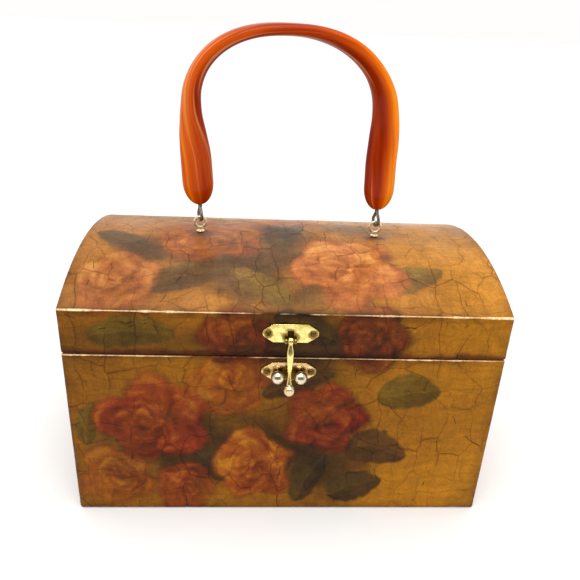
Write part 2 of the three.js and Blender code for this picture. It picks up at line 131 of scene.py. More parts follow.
LEAF_COLOURS = {
    "dark": ((38, 26, 8), (58, 40, 12), (76, 56, 16)),
    "brown": ((50, 30, 10), (74, 46, 14), (94, 62, 20)),
    "olive": ((72, 52, 8), (92, 68, 12), (112, 86, 20)),
}
BLOOM_COLOURS = {
    "deep": ((30, 10, 3), (72, 22, 5), (104, 36, 8), (138, 68, 12)),
    "red": ((36, 11, 4), (96, 26, 8), (132, 46, 14), (168, 90, 24)),
    "orange": ((56, 20, 5), (118, 46, 9), (148, 74, 13), (178, 112, 26)),
    "rose": ((72, 32, 12), (134, 62, 24), (166, 94, 38), (196, 134, 66)),
}
BLOOMS = table(
    "u v size turn colours strength",
    (-92, 22, 24, 40, "orange", 0.6),
    (-54, 16, 20, 120, "red", 0.65),
    (-30, 86, 25, 250, "orange", 0.7),
    (-70, 62, 34, 15, "red", 0.9),
    (-17, 32, 27, -35, "orange", 0.9),
    (22, 64, 26, 80, "red", 0.95),
    (-26, 113, 23, 200, "deep", 0.85),
    (44, 114, 24, 20, "deep", 0.8),
    (-88, 148, 26, -60, "rose", 0.65),
    (4, 238, 30, 70, "rose", 0.6),
    (-44, 198, 37, 10, "orange", 0.78),
    (32, 164, 36, -20, "rose", 0.85),
)
LEAVES = table(
    "u v long wide turn colours",
    (52, 44, 36, 25, -12, "brown"),
    (42, 17, 34, 23, 22, "dark"),
    (66, 82, 33, 23, 10, "olive"),
    (14, 24, 38, 20, 64, "dark"),
    (-42, 34, 38, 19, -48, "dark"),
    (6, 88, 40, 18, 20, "brown"),
    (-106, 60, 30, 14, 78, "olive"),
    (-80, 115, 44, 20, 4, "olive"),
    (10, 120, 36, 18, -24, "dark"),
    (-92, 188, 38, 18, -34, "dark"),
    (-56, 152, 46, 22, 20, "dark"),
    (-14, 146, 40, 20, -38, "olive"),
    (2, 206, 42, 19, 70, "dark"),
    (68, 156, 36, 20, 30, "olive"),
)
SHADES = table(
    "u v wide high turn strength",
    (-44, 42, 84, 52, 30, 0.85),
    (6, 46, 62, 44, -30, 0.9),
    (26, 26, 48, 46, 10, 0.8),
    (-88, 42, 46, 40, 10, 0.5),
    (6, 92, 66, 26, 0, 0.75),
    # this row also darkens the paper round the upper clasp plate: painted shade
    (4, 112, 96, 34, 0, 0.85),
    (-62, 112, 90, 22, 0, 0.4),
    (-30, 164, 110, 50, -6, 0.98),
    (-80, 180, 46, 24, -24, 0.8),
    (-6, 192, 44, 70, 6, 0.95),
    (-2, 138, 60, 26, 0, 0.8),
    (46, 212, 60, 26, -20, 0.55),
)
PETAL_RINGS = table(
    "rim petals soft",
    (1.00, 5, 0.22),
    (0.80, 5, 0.12),
    (0.60, 4, 0.10),
    (0.41, 3, 0.09),
    (0.22, 2, 0.09),
)
# Leaf: shape in half lengths, then tones from dark to light
LEAF = Values(bend=0.1, blunt=0.45, taper=0.15, ribs=15, ripple=0.04, slant=0.9, soft=0.13)
LEAF_VEIN = Values(half=0.035, end=0.9, fold=0.1)
LEAF_TONE = Values(base=0.34, halves=0.2, ribs=0.12, vein=0.35, mottle=0.5, patch=9, share=0.9)
# Bloom: shape in radii, brush strokes round and outwards, then tones from dark to light
BLOOM = Values(wobble=0.17, patch=0.6, notch=0.2, blunt=0.55, tuck=0.72, least=0.02)
STROKES = Values(around=4.5, out_u=9, out_v=3, patch=1.6, seed=5)
BLOOM_TONE = Values(base=0.16, rim=0.7, fall=0.8, petal=0.9, strokes=0.4, lit=0.14, lit_from=2.1, lit_rim=0.3)
PETAL_SHADES = (-0.2, 0.22)
THIN = Values(depth=0.35, patch=0.9, seed=8)  # patches of thinner paint
ROW_SEED = 7
PAINT_MARGIN = 4
NOISE_CELLS = 64

# Varnish cracks: cell size, half width of a line, and how the patch noise lets them show
CRACKS = table(
    "wide high half start full least most",
    (13, 26, 0.7, 0.4, 0.62, 0.16, 0.95),
    (26, 12, 0.6, 0.58, 0.38, 0.06, 0.75),
    (7, 9, 0.4, 0.46, 0.66, 0.0, 0.5),
)
SPLITS = Values(wide=46, high=70, half=0.4, shown=(0.56, 0.62))
CRACK_RANDOM = 0.72
CRACK_DRIFT = 8.0
BRUSH = table("wide high depth", (13.0, 3.2, 0.09), (3.4, 11.0, 0.07), (1.3, 1.3, 0.10))
BRUSH_ROUGHNESS = 0.6
CRACK_TINT = (192, 177, 150)
SPLIT_TINT = (110, 94, 76)
WORN_TINT = (136, 114, 94)
# Colour of the rubbed line, a painted highlight
RUBBED_HIGHLIGHT_COLOUR = (246, 212, 160)
FLECKS = Values(tones=(0.3, 0.55), shares=(0.5, 1.0))
# Noises on the sheet, by the size of their spots
SHEET_NOISES = table(
    "name size detail roughness",
    ("drift", 18, 2.0, 0.5),
    ("patches", 34, 2.0, 0.5),
    ("broken", 11, 3.0, 0.5),
    ("flecks", 1.6, 3.0, 0.5),
    ("smear", 25, 4.0, 0.6),
    ("ripple", 3.5, 2.0, 0.5),
)
NOISE_TONES = (0.3, 0.7)  # where most of a noise lies
NOISE_MIDDLE = 0.5
VARNISH = Values(gloss=0.11, roughness=(0.24, 0.4), cracked=0.2)
VARNISH_BUMP = Values(ripple=0.45, crack=0.6, strength=0.5, distance=0.12)

WOOD_GRAIN = table("along across weight", (9, 170, 0.8), (24, 900, 0.45))
WOOD_STOPS = [(0.3, (104, 68, 38)), (0.5, (142, 100, 60)), (0.72, (168, 126, 80))]
WOOD = Values(gloss=0.3, detail=3.0, fine=0.6, roughness=(0.5, 0.38), strength=0.3, distance=0.1)

# Handle: half of its sections from a foot to the crown, as the frame's own bar is made.
# left and right are the twists, in degrees, on the two sides.
HANDLE_X = 1.2
EYE_SPREAD = 51.7
HANDLE_LEAN = 4.6
HANDLE_ROUNDNESS = 2.3
HANDLE_SIDES = 44
HANDLE_STEPS = 12
FOOT_CAP = Values(length=13.5, blunt=0.5)
BORE = Values(radius=1.1, depth=4.8)
HALF_HANDLE = table(
    "spread height wide thick left right",
    (EYE_SPREAD, 160.8, 17.6, 10.0, 0, 0),
    (52.1, 175.0, 17.6, 10.0, 3, 2),
    (52.3, 188.0, 17.5, 9.8, 10, 9),
    (53.1, 201.0, 17.0, 9.4, 32, 17),
    (53.3, 213.0, 15.9, 9.0, 53, 37),
    (51.7, 225.1, 14.9, 8.6, 64, 46),
    (46.9, 235.5, 14.0, 8.1, 71, 56),
    (39.2, 244.0, 13.2, 7.6, 75, 59),
    (28.8, 250.4, 12.6, 7.1, 79, 65),
    (16.0, 254.3, 12.2, 6.7, 84, 75),
    (0.0, 255.6, 12.0, 6.5, 90, 90),
)

# Amber: painted darker towards the inside of the arch and lighter on the outer sides, standing in for light
# through the resin, with lengthwise bands and a few pale lines of painted highlight
AMBER = Values(inner=-0.3, outer=0.42, low=0.3, high=0.72, gloss=0.1, scatter=0.2, scatter_reach=4)
AMBER_BANDS = table("scale weight", ((0.14, 0.2, 0.012), 1.0), ((0.5, 0.5, 0.018), 0.35))
AMBER_BAND_ROUGHNESS = 0.45
AMBER_POLISH = Values(bands=(-0.2, 0.2), roughness=(0.1, 0.2))
AMBER_STOPS = [(0.05, (94, 14, 0)), (0.35, (147, 42, 0)), (0.6, (188, 76, 1)), (0.9, (222, 126, 10))]
# Pale lines along the handle: painted highlights
AMBER_HIGHLIGHT_LINES = Values(scale=(0.34, 0.42, 0.008), detail=1.0, tones=(0.6, 0.74), share=0.32)
AMBER_HIGHLIGHT_COLOUR = (240, 172, 112)

# Linked eyes
RING = Values(radius=3.2, wire=0.82, centre_z=149.7, steps=48)
COLLAR = Values(radius=2.35, edge=0.5, height=1.2, neck=0.95, lip=0.15, steps=7)
LOOP = Values(radius=3.0, wire=0.93, height=9.0, drop=2.0, turn=-68, arc_steps=30, leg_steps=8)
STUB = Values(radius=1.25, foot=6.2, top=7.6, shank=0.75, shank_top=12.0, lip=0.3)
SWING_Z = RING.centre_z + RING.radius
WIRE_SIDES = 16

# Clasp
FIT = 0.2  # gap between a part and what it is fixed to
BEVEL_STEPS = 2
CLASP_X = 0.6
PLATE = Values(width=28.6, height=10.3, thick=0.9, straight=17.6, lobe=2.9, bevel=0.26, end_steps=16)
UPPER_PLATE_Z = 116.75
LOWER_PLATE_Z = 94.4
NAIL = Values(spread=11.4, hole=0.9, hole_steps=24, head=1.55, dome=0.8, dome_steps=12, shank=0.55)
NOTCH = Values(half=1.45, top_z=118.2)
PIVOT = Values(z=113.3, out=2.7, pin=0.7)
LUG = Values(inner=1.5, outer=3.1, radius=1.5, chamfer=0.25, web_inset=0.05, web_below=0.02, web_bevel=0.1)
STUD = Values(spread=5.9, z=93.4, ball=3.6, ball_out=4.0, ball_steps=26, neck=1.2)
FLANGE = Values(radius=1.9, thick=0.5, lip=0.12)
ARM_EYE = Values(outer=2.1, bore=1.05, half=1.2, chamfer=0.3)
KNOB = Values(radius=3.1, flat=0.8, crown=0.15, steps=30)
ARM_STEPS = 60
ARM_SIDES = 24
ARM = table(
    "drop out wide deep",
    (1.5, 3.1, 2.0, 1.4),
    (5.8, 4.9, 3.4, 1.6),
    (11.0, 5.7, 3.0, 1.6),
    (17.3, 6.2, 1.9, 1.6),
    (21.6, 7.3, 2.4, 1.9),
    (25.4, 8.8, 4.8, 2.6),
)
# A turned round end stops this far, in radians, from its pole
POLE = Values(ball=0.03, nail=0.04, knob_back=0.05, knob_front=0.03)

# Metals: roughness from polished to dull, the share that is dull, and spots to a metre
CLASP_BRASS = Values(
    bright=(255, 243, 162), dull=(238, 212, 124), roughness=(0.2, 0.32), cover=0.2, grain=900
)
METALS = table(
    "name bright dull roughness cover grain",
    ("stud_silver", (238, 228, 204), (206, 194, 166), (0.2, 0.3), 0.15, 900),
    ("nail_bronze", (112, 86, 44), (58, 42, 20), (0.3, 0.5), 0.6, 900),
    ("eye_brass", (252, 240, 208), (228, 206, 160), (0.34, 0.5), 0.3, 900),
    ("eye_steel", (142, 140, 136), (36, 35, 33), (0.22, 0.4), 0.55, 900),
    ("hinge_brass", (206, 170, 100), (150, 116, 62), (0.28, 0.42), 0.4, 300),
)
TARNISH = Values(bare=0.75, full=0.45, coarse=1 / 3, detail=4.0, roughness=0.6)
SCRATCHES = Values(fine=4, strength=0.12, distance=0.02)

# Painted shade and stains on the clasp: ovals seen from the front, with x from the clasp's middle
SHADE_AND_STAIN_COLUMNS = "x z wide high colour"
CLASP_SHADES_AND_STAINS = {
    "upper_brass": table(
        SHADE_AND_STAIN_COLUMNS,
        # painted shade round the upper plate's slot
        (0, 115.4, 11, 9, (140, 116, 56)),
        (-NAIL.spread, 116.6, 6.4, 6.4, (150, 120, 62)),
        (NAIL.spread, 116.6, 6.4, 6.4, (150, 120, 62)),
    ),
    "lower_brass": table(
        SHADE_AND_STAIN_COLUMNS,
        # painted shade: the lower plate darker all over, and darkest between the studs
        (0, 94.4, 34, 18, (226, 190, 134)),
        (0, 93.4, 22, 11, (96, 70, 26)),
        (-NAIL.spread, 94.2, 6.4, 6.4, (140, 108, 60)),
        (NAIL.spread, 94.2, 6.4, 6.4, (140, 108, 60)),
    ),
    "arm_brass": table(SHADE_AND_STAIN_COLUMNS, (0, 87.6, 14, 10, (224, 202, 160))),
}
SHADE_AND_STAIN_EDGE = Values(reach=1.5, soft=0.35)

# Back hinges
HINGE = Values(spread=70, half=13, leaf=12, thick=0.9, out=2.6, relief=2.6, bevel=0.2)
HINGE_CORNER = Values(radius=1.6, steps=7)
HINGE_TAB = Values(below=0.6, bevel=0.05)
KNUCKLE = Values(radius=2.2, bore=1.4, pin=1.0, inner=4.0, start=4.3, end=12.0, chamfer=0.35)
HINGE_Z = 102.2
TURNED_SIDES = 32
HALF_TURN = np.array([-1, -1, 1])  # about Z


# Numbers and colours


def linear(colour):
    """Linear light of sRGB colours."""
    share = np.asarray(colour, float) / 255
    return np.where(share <= 0.04045, share / 12.92, ((share + 0.055) / 1.055) ** 2.4)


def rgba(colour):
    return (*linear(colour), 1.0)


def smooth(share):
    share = np.clip(share, 0, 1)
    return share * share * (3 - 2 * share)


def lattice_noise(x, y, seed):
    """Smooth noise from -1 to 1 with one random value at each whole number."""
    lattice = np.random.default_rng(seed).uniform(-1, 1, (NOISE_CELLS, NOISE_CELLS))
    column = np.floor(x).astype(int)
    row = np.floor(y).astype(int)
    across = smooth(x - column)
    up = smooth(y - row)

    def at(i, j):
        return lattice[(column + i) % NOISE_CELLS, (row + j) % NOISE_CELLS]

    low = at(0, 0) * (1 - across) + at(1, 0) * across
    high = at(0, 1) * (1 - across) + at(1, 1) * across
    return low * (1 - up) + high * up


def cloud(x, y, size, seed, octaves=3):
    """Layered noise, mostly within -0.7 to 0.7, whose largest patches are about size wide."""
    total = np.zeros(np.shape(x))
    for octave in range(octaves):
        scale = 2**octave / size
        total += lattice_noise(x * scale, y * scale, seed + octave) / 2**octave
    return total / (2 - 2 ** (1 - octaves))


def turned(x, y, degrees):
    angle = math.radians(degrees)
    return x * math.cos(angle) + y * math.sin(angle), y * math.cos(angle) - x * math.sin(angle)


def around(count):
    """Angles of points spread evenly on a circle."""
    return 2 * math.pi * np.arange(count) / count


def lengths(vectors):
    """The length of each row, as a column."""
    return np.linalg.norm(vectors, axis=1, keepdims=True)


def unit_rows(vectors):
    return vectors / lengths(vectors)


def blend(colour, other, amount):
    return colour + (other - colour) * amount[:, None]


def ramp_colour(tone, colours):
    """Colour at each tone from 0 to 1 along an evenly spaced row of sRGB colours."""
    stops = np.linspace(0, 1, len(colours))
    light = linear(colours)
    tone = np.clip(tone, 0, 1)
    return np.stack([np.interp(tone, stops, light[:, channel]) for channel in range(3)], axis=1)


# The painted paper


def ground(u, v):
    tone = 0.5 + 0.5 * cloud(u, v, GROUND.patch, SEED.ground) + GROUND.drift * u
    colour = ramp_colour(tone, (GROUND.deep, GROUND.light))
    olive = smooth(OLIVE.gain * cloud(u, v, OLIVE.patch, SEED.olive) - OLIVE.start)
    return blend(colour, linear(OLIVE.colour), OLIVE.share * olive)


def paint_shade(colour, u, v, row, seed):
    along, across = turned(u - row.u, v - row.v, row.turn)
    reach = np.hypot(2 * along / row.wide, 2 * across / row.high)
    reach += SHADE.ragged * cloud(u, v, SHADE.patch, seed)
    return blend(colour, linear(SHADE.colour), row.strength * smooth(SHADE.reach - reach))


def paint_leaf(colour, u, v, row, seed):
    """A bent leaf with a middle vein and slanting ribs, lighter on one half."""
    along, across = turned(u - row.u, v - row.v, row.turn)
    half_long = row.long / 2
    along = along / half_long
    across = across / half_long + LEAF.bend * along**2
    half = (row.wide / row.long) * np.clip(1 - along**2, 0, 1) ** LEAF.blunt * (1 - LEAF.taper * along)
    half *= 1 + LEAF.ripple * np.sin(LEAF.ribs * along) * np.sign(across)
    cover = smooth((half - np.abs(across)) / LEAF.soft)
    vein = np.exp(-((across / LEAF_VEIN.half) ** 2)) * (np.abs(along) < LEAF_VEIN.end)
    ribs = 0.5 + 0.5 * np.sin(LEAF.ribs * (along - LEAF.slant * np.abs(across)))
    tone = LEAF_TONE.base + LEAF_TONE.halves * np.sign(across) * smooth(np.abs(across) / LEAF_VEIN.fold)
    tone += LEAF_TONE.ribs * ribs + LEAF_TONE.vein * vein
    tone += LEAF_TONE.mottle * cloud(u, v, LEAF_TONE.patch, seed)
    return blend(colour, ramp_colour(tone, LEAF_COLOURS[row.colours]), LEAF_TONE.share * cover)


def paint_bloom(colour, u, v, row, seed):
    """A full rose: rings of petals, each light at its rim and dark where it goes under the next."""
    du = (u - row.u) / row.size
    dv = (v - row.v) / row.size
    reach = np.hypot(du, dv) + BLOOM.wobble * cloud(u, v, BLOOM.patch * row.size, seed)
    facing = np.arctan2(dv, du)
    angle = facing - math.radians(row.turn)
    draws = np.random.default_rng(seed)
    stroke_u = STROKES.around * np.cos(angle) + STROKES.out_u * reach
    stroke_v = STROKES.around * np.sin(angle) + STROKES.out_v * reach
    strokes = cloud(stroke_u, stroke_v, STROKES.patch, seed + STROKES.seed)
    tone = np.zeros(np.shape(u))
    for depth, ring in enumerate(PETAL_RINGS):
        inner = PETAL_RINGS[depth + 1].rim if depth + 1 < len(PETAL_RINGS) else 0.0
        turns = ring.petals * (angle / (2 * math.pi) + draws.random())
        shades = draws.uniform(*PETAL_SHADES, ring.petals)
        petal = shades[np.floor(turns).astype(int) % ring.petals]
        lobe = np.abs(np.sin(math.pi * turns))
        rim = ring.rim * (1 - BLOOM.notch + BLOOM.notch * lobe**BLOOM.blunt)
        inside = smooth((rim - reach) / ring.soft)
        under = np.clip((rim - reach) / (rim - BLOOM.tuck * inner + BLOOM.least), 0, 1)
        lit = BLOOM_TONE.rim * (1 - under) ** BLOOM_TONE.fall * (0.5 + 0.5 * np.sqrt(lobe))
        lit += BLOOM_TONE.petal * petal + BLOOM_TONE.base
        lit += BLOOM_TONE.lit * np.cos(facing - BLOOM_TONE.lit_from) * (ring.rim > BLOOM_TONE.lit_rim)
        tone = tone * (1 - inside) + lit * inside
        if depth == 0:
            cover = inside
    tone += BLOOM_TONE.strokes * strokes
    thin = 1 + THIN.depth * cloud(u, v, THIN.patch * row.size, seed + THIN.seed)
    cover = np.clip(cover * row.strength * thin, 0, 1)
    return blend(colour, ramp_colour(tone, BLOOM_COLOURS[row.colours]), cover)


LAYERS = table(
    "paint rows size margin seed",
    (paint_shade, SHADES, "wide", 1.0, 100),
    (paint_leaf, LEAVES, "long", 0.75, 200),
    (paint_bloom, BLOOMS, "size", 1.25, 300),
)


def picture(u, v):
    """The sheet's colours: aged ground, then soft shade, leaves and blooms with brush-wobbled edges."""
    colour = ground(u, v)
    wander_u = u + WANDER.reach * cloud(u, v, WANDER.patch, SEED.wander_u)
    wander_v = v + WANDER.reach * cloud(u, v, WANDER.patch, SEED.wander_v)
    for layer in LAYERS:
        for index, row in enumerate(layer.rows):
            reach = layer.margin * getattr(row, layer.size) + PAINT_MARGIN
            near = np.hypot(u - row.u, v - row.v) < reach
            if near.any():
                seed = layer.seed + ROW_SEED * index
                colour[near] = layer.paint(colour[near], wander_u[near], wander_v[near], row, seed)

    # Painted shade on the lid's front just above the seam
    seam_shade_top = BOX_TOP + LID_SEAM_SHADE.height + LID_SEAM_SHADE.ragged * cloud(u, v, LID_SEAM_SHADE.patch, SEED.band)
    band = smooth((seam_shade_top - v) / LID_SEAM_SHADE.soft) * (v > BOX_TOP + FIT)
    colour = blend(colour, colour * linear(LID_SEAM_SHADE.tint), band)
    # Darkening round each eye seat: painted shade along with staining
    for side in (-1, 1):
        along = 2 * (u - HANDLE_X - side * EYE_SPREAD) / EYE_SEAT_SHADE_AND_STAIN.wide
        ahead = 2 * (v - LID_EDGE - DOME_HALF_ARC + EYE_SEAT_SHADE_AND_STAIN.ahead) / EYE_SEAT_SHADE_AND_STAIN.high
        ragged = EYE_SEAT_SHADE_AND_STAIN.ragged * cloud(u, v, EYE_SEAT_SHADE_AND_STAIN.patch, SEED.stain)
        stain = smooth(EYE_SEAT_SHADE_AND_STAIN.reach - np.hypot(along, ahead) + ragged)
        colour = blend(colour, colour * linear(EYE_SEAT_SHADE_AND_STAIN.tint), stain)
    # Painted sheen: the dome's paint paled towards a light colour
    faded = smooth((v - LID_EDGE) / DOME_SHEEN.soft) * smooth((BACK_V - v) / DOME_SHEEN.soft)
    faded *= 1 + DOME_SHEEN.ragged * cloud(u, v, DOME_SHEEN.patch, SEED.faded)
    colour = blend(colour, linear(DOME_SHEEN.colour), DOME_SHEEN.share * faded)
    age = 1 + sum(row.depth * cloud(u, v, row.patch, row.seed) for row in AGE)
    # Painted shade on the upright faces and painted light on the dome
    age *= DOME_SHEEN.upright + DOME_SHEEN.lift * faded
    return np.clip(colour * age[:, None], 0, 1)


# Meshes


def put(name, data):
    """A new object in the scene."""
    made = bpy.data.objects.new(name, data)
    bpy.context.scene.collection.objects.link(made)
    return made


def smoothed(mesh, sharp):
    mesh.shade_smooth()
    mesh.set_sharp_from_angle(angle=math.radians(sharp))
    return mesh


def mesh_of(points, faces, sharp=SHARP_EDGE):
    mesh = bpy.data.meshes.new("solid")
    mesh.from_pydata((MM * np.asarray(points)).tolist(), [], [list(face) for face in faces])
    return smoothed(mesh, sharp)


def final_mesh(made):
    """An object's mesh with its modifiers or curve settings applied."""
    depsgraph = bpy.context.evaluated_depsgraph_get()
    return bpy.data.meshes.new_from_object(made.evaluated_get(depsgraph))


def write_points(mesh, name, values):
    """Keeps a number or a vector for each point of a mesh, for the materials to read."""
    kind, key = ("FLOAT_VECTOR", "vector") if values.ndim > 1 else ("FLOAT", "value")
    attribute = mesh.attributes.new(name, kind, "POINT")
    attribute.data.foreach_set(key, values.astype(np.float32).ravel())


def dress(node, mesh, *materials):
    """Makes the piece that stands for a CAD node, on the node's body, with its materials, and hides the node.
    """
    mesh.name = node
    for material in materials:
        mesh.materials.append(material)
    made = put(node + "_dressed", mesh)
    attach(made, BODY_OF[node])
    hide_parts(node)


def skin(rings, closed=False):
    """Points and faces of a closed skin through rings of points, as arrays (ring, side, xyz)."""
    rings = np.asarray(rings)
    count, sides = rings.shape[:2]
    ids = np.arange(count * sides).reshape(count, sides)
    ahead = np.roll(ids, -1, axis=0) if closed else ids[1:]
    here = ids if closed else ids[:-1]
    after = np.roll(here, -1, axis=1)
    quads = np.stack([here, after, np.roll(ahead, -1, axis=1), ahead], axis=-1)
    faces = quads.reshape(-1, 4).tolist()
    if not closed:
        faces += [ids[0, ::-1].tolist(), ids[-1].tolist()]
    return rings.reshape(-1, 3), faces


def oval_rings(centres, plane, wide, thick, twist, sides, roundness=2.0, closed=False):
    """Oval sections along a line of centres that lies in a plane, turned by twist out of that plane."""
    centres = np.asarray(centres, float)
    if closed:
        tangents = np.roll(centres, -1, axis=0) - np.roll(centres, 1, axis=0)
    else:
        tangents = np.gradient(centres, axis=0)
    wide, thick, twist = (np.broadcast_to(value, len(centres)) for value in (wide, thick, twist))
    turn = twist[:, None]
    plane = np.asarray(plane, float)
    inward = np.cross(plane, unit_rows(tangents))
    long = inward * np.cos(turn) - plane * np.sin(turn)
    short = inward * np.sin(turn) + plane * np.cos(turn)
    waves = np.cos(around(sides)), np.sin(around(sides))
    along, across = (np.sign(wave) * np.abs(wave) ** (2 / roundness) for wave in waves)
    rings = np.einsum("r,s,rx->rsx", wide / 2, along, long)
    rings += np.einsum("r,s,rx->rsx", thick / 2, across, short)
    return centres[:, None, :] + rings


def turned_solid(profile, sides=TURNED_SIDES):
    """Points and faces of a solid turned about Z from (radius, height) points."""
    angle = around(sides)
    rings = [
        np.stack([radius * np.cos(angle), radius * np.sin(angle), np.full(sides, height)], axis=1)
        for radius, height in profile
    ]
    return skin(rings)


def bar_along_x(radius, x0, x1, chamfer=0.0):
    """A round bar along X with chamfered ends, as points and faces."""
    profile = [(radius, x0 + chamfer), (radius, x1 - chamfer)]
    if chamfer:
        profile = [(radius - chamfer, x0), *profile, (radius - chamfer, x1)]
    points, faces = turned_solid(profile)
    return points[:, [2, 0, 1]], faces


def moved(solid, offset):
    points, faces = solid
    return points + np.asarray(offset, float), faces


def facing_front(solid, x, out, z):
    """Stands a solid made along +Z on the front face: its Y goes up and its Z to the front."""
    points, faces = solid
    return np.stack([x + points[:, 0], -HALF_D - out - points[:, 2], z + points[:, 1]], axis=1), faces


def smooth_curve(rows):
    """A centripetal Catmull-Rom curve through rows of numbers, as a function of a station from 0 up."""
    rows = np.asarray(rows, float)
    padded = np.vstack([2 * rows[0] - rows[1], rows, 2 * rows[-1] - rows[-2]])

    def at(station):
        gap = min(int(station), len(rows) - 2)
        t = station - gap
        before, start, end, after = padded[gap : gap + 4]
        steps = [np.sum((b - a) ** 2) ** 0.25 for a, b in ((before, start), (start, end), (end, after))]
        first, middle, last = steps
        leave = (start - before) / first - (end - before) / (first + middle) + (end - start) / middle
        arrive = (end - start) / middle - (after - start) / (middle + last) + (after - end) / last
        leave, arrive = leave * middle, arrive * middle
        bend = 2 * start - 2 * end + leave + arrive
        curve = -3 * start + 3 * end - 2 * leave - arrive
        return ((bend * t + curve) * t + leave) * t + start

    return at


def along_curve(rows, stations):
    at = smooth_curve(rows)
    return np.array([at(station) for station in stations])


def fused(solids, cuts=(), sharp=SHARP_EDGE):
    """One closed mesh of overlapping closed solids, with the cuts taken away."""
    tools = [put("tool", mesh_of(*solid)) for solid in [*solids, *cuts]]
    base = tools[0]
    for index, tool in enumerate(tools[1:], 1):
        boolean = base.modifiers.new("join", "BOOLEAN")
        boolean.operation = "UNION" if index < len(solids) else "DIFFERENCE"
        boolean.solver = "MANIFOLD"
        boolean.object = tool
    mesh = final_mesh(base)
    mesh.materials.clear()
    for tool in tools:
        data = tool.data
        bpy.data.objects.remove(tool)
        bpy.data.meshes.remove(data)
    return smoothed(mesh, sharp)


# Boards, as grids on a box whose outer edges are rounded

SIDES = ["left", "right", "front", "back", "under", "top"]
# Edges that carry the pale rubbed line, a painted highlight
HIGHLIGHTED_EDGES = {"front_wall": ("front", "top"), "dome_panel": ("front", "top")}


def grid_lines(low, high, round_low, round_high, pitch):
    """Places along one axis: close together in the rounded ends and a pitch apart between them."""
    tangents = np.tan(np.radians(np.linspace(0, 45, ROUND_STEPS + 1)))[1:]
    start, end = low + round_low, high - round_high
    middle = np.linspace(start, end, max(1, round((end - start) / pitch)) + 1)
    below = start - round_low * tangents[::-1] if round_low else []
    above = end + round_high * tangents if round_high else []
    return np.concatenate([below, middle, above])


def grid_box(lines):
    """Points and quads on the skin of a box cut at grid lines, with the side that each quad lies on."""
    counts = [len(line) for line in lines]
    shell = np.zeros(counts, bool)
    for axis in range(3):
        np.moveaxis(shell, axis, 0)[[0, -1]] = True
    ids = np.full(counts, -1)
    ids[shell] = np.arange(shell.sum())
    cells = np.argwhere(shell)
    points = np.stack([lines[axis][cells[:, axis]] for axis in range(3)], axis=1)
    quads, sides = [], []
    for side in range(len(SIDES)):
        axis, end = divmod(side, 2)
        face = np.take(ids, -1 if end else 0, axis=axis)
        corners = [face[:-1, :-1], face[1:, :-1], face[1:, 1:], face[:-1, 1:]]
        quad = np.stack(corners, axis=-1).reshape(-1, 4)
        outward = (axis != 1) == bool(end)
        quads.append(quad if outward else quad[:, ::-1])
        sides.append(np.full(len(quad), side))
    return points, np.concatenate(quads), np.concatenate(sides)


def inset_from(flat, low, high, side):
    """How far points of a box lie from one of its sides."""
    axis, end = divmod(side, 2)
    return np.abs(flat[:, axis] - (high if end else low)[axis])


def unroll(points, side):
    """Where points on one side of the purse lie on the paper sheet."""
    x, y, z = points.T
    from_front = y + HALF_D
    places = {
        "left": (-HALF_W - from_front, z),
        "right": (HALF_W + from_front, z),
        "front": (x, z),
        "back": (x, BACK_V + LID_EDGE - z),
        "under": (x, -from_front),
        "top": (x, LID_EDGE + DOME_HALF_ARC + DOME_R * np.arcsin(y / DOME_R)),
    }
    return np.stack(places[SIDES[side]], axis=1)


def as_made(points, low, high):
    return points


def under_arch(points, low, high):
    """Stretches a straight board up to the underside of the dome."""
    x, y, z = points.T
    top = DOME_CENTRE + np.sqrt((DOME_R - DOME_THICK) ** 2 - y**2)
    return np.stack([x, y, low[2] + (z - low[2]) / (high[2] - low[2]) * (top - low[2])], axis=1)


def bent(points, low, high):
    """Bends a flat panel, measured along its outer face, into the dome, with upright front and back edges."""
    x, along, height = points.T
    radius = DOME_R + height
    angle = along / DOME_HALF_ARC * np.arcsin(HALF_D / radius)
    return np.stack([x, radius * np.sin(angle), DOME_CENTRE + radius * np.cos(angle)], axis=1)


def rounded(away, rounds):
    """Draws offsets from a box's core in to the rounding of its edges."""
    scale = np.where(away < 0, rounds[:, 0], rounds[:, 1])
    share = np.divide(away, scale, out=np.zeros_like(away), where=scale > 0)
    longest = np.abs(share).max(axis=1, keepdims=True)
    return away * longest / np.maximum(lengths(share), TINY)


def relief(flat, away, low, high, rounds, outer, seed):
    """Offsets that chip the rounded edges and give a papered outer face gentle waves."""
    axis = outer // 2
    a, b = np.delete(flat, axis, axis=1).T
    share = np.sort(np.abs(away) / np.maximum(rounds.max(axis=1), CLOSE), axis=1)[:, 1]
    spots = cloud(a + flat[:, axis], b - flat[:, axis], CHIP.size, seed + BOARD_SEED.chip)
    bite = CHIP.depth * np.clip(spots - CHIP.start, 0, 1) * share
    offsets = -away / np.maximum(lengths(away), TINY) * bite[:, None]
    if rounds.any():
        inset = np.delete(np.minimum(flat - low, high - flat), axis, axis=1).min(axis=1)
        wave = WAVE.height * cloud(a, b, WAVE.size, seed) * smooth(inset / WAVE.fade)
        offsets[:, axis] += np.where(inset_from(flat, low, high, outer) < CLOSE, wave, 0)
    return offsets


def rub_highlight_along(along, gap, seed):
    """How far the pale rubbed line reaches near an edge, a painted highlight on rubbed paper: in dashes,
    mostly towards the ends.
    """
    breaks = RUB_HIGHLIGHT.dashes * cloud(along, 0 * gap, RUB_HIGHLIGHT.dash, seed + BOARD_SEED.dash)
    breaks += RUB_HIGHLIGHT.patches * cloud(along, 0 * gap, RUB_HIGHLIGHT.patch, seed + BOARD_SEED.patch)
    breaks += RUB_HIGHLIGHT.ends * (np.abs(along) / HALF_W - 0.5)
    return smooth((RUB_HIGHLIGHT.reach * (RUB_HIGHLIGHT.share + breaks) - gap) / RUB_HIGHLIGHT.soft)


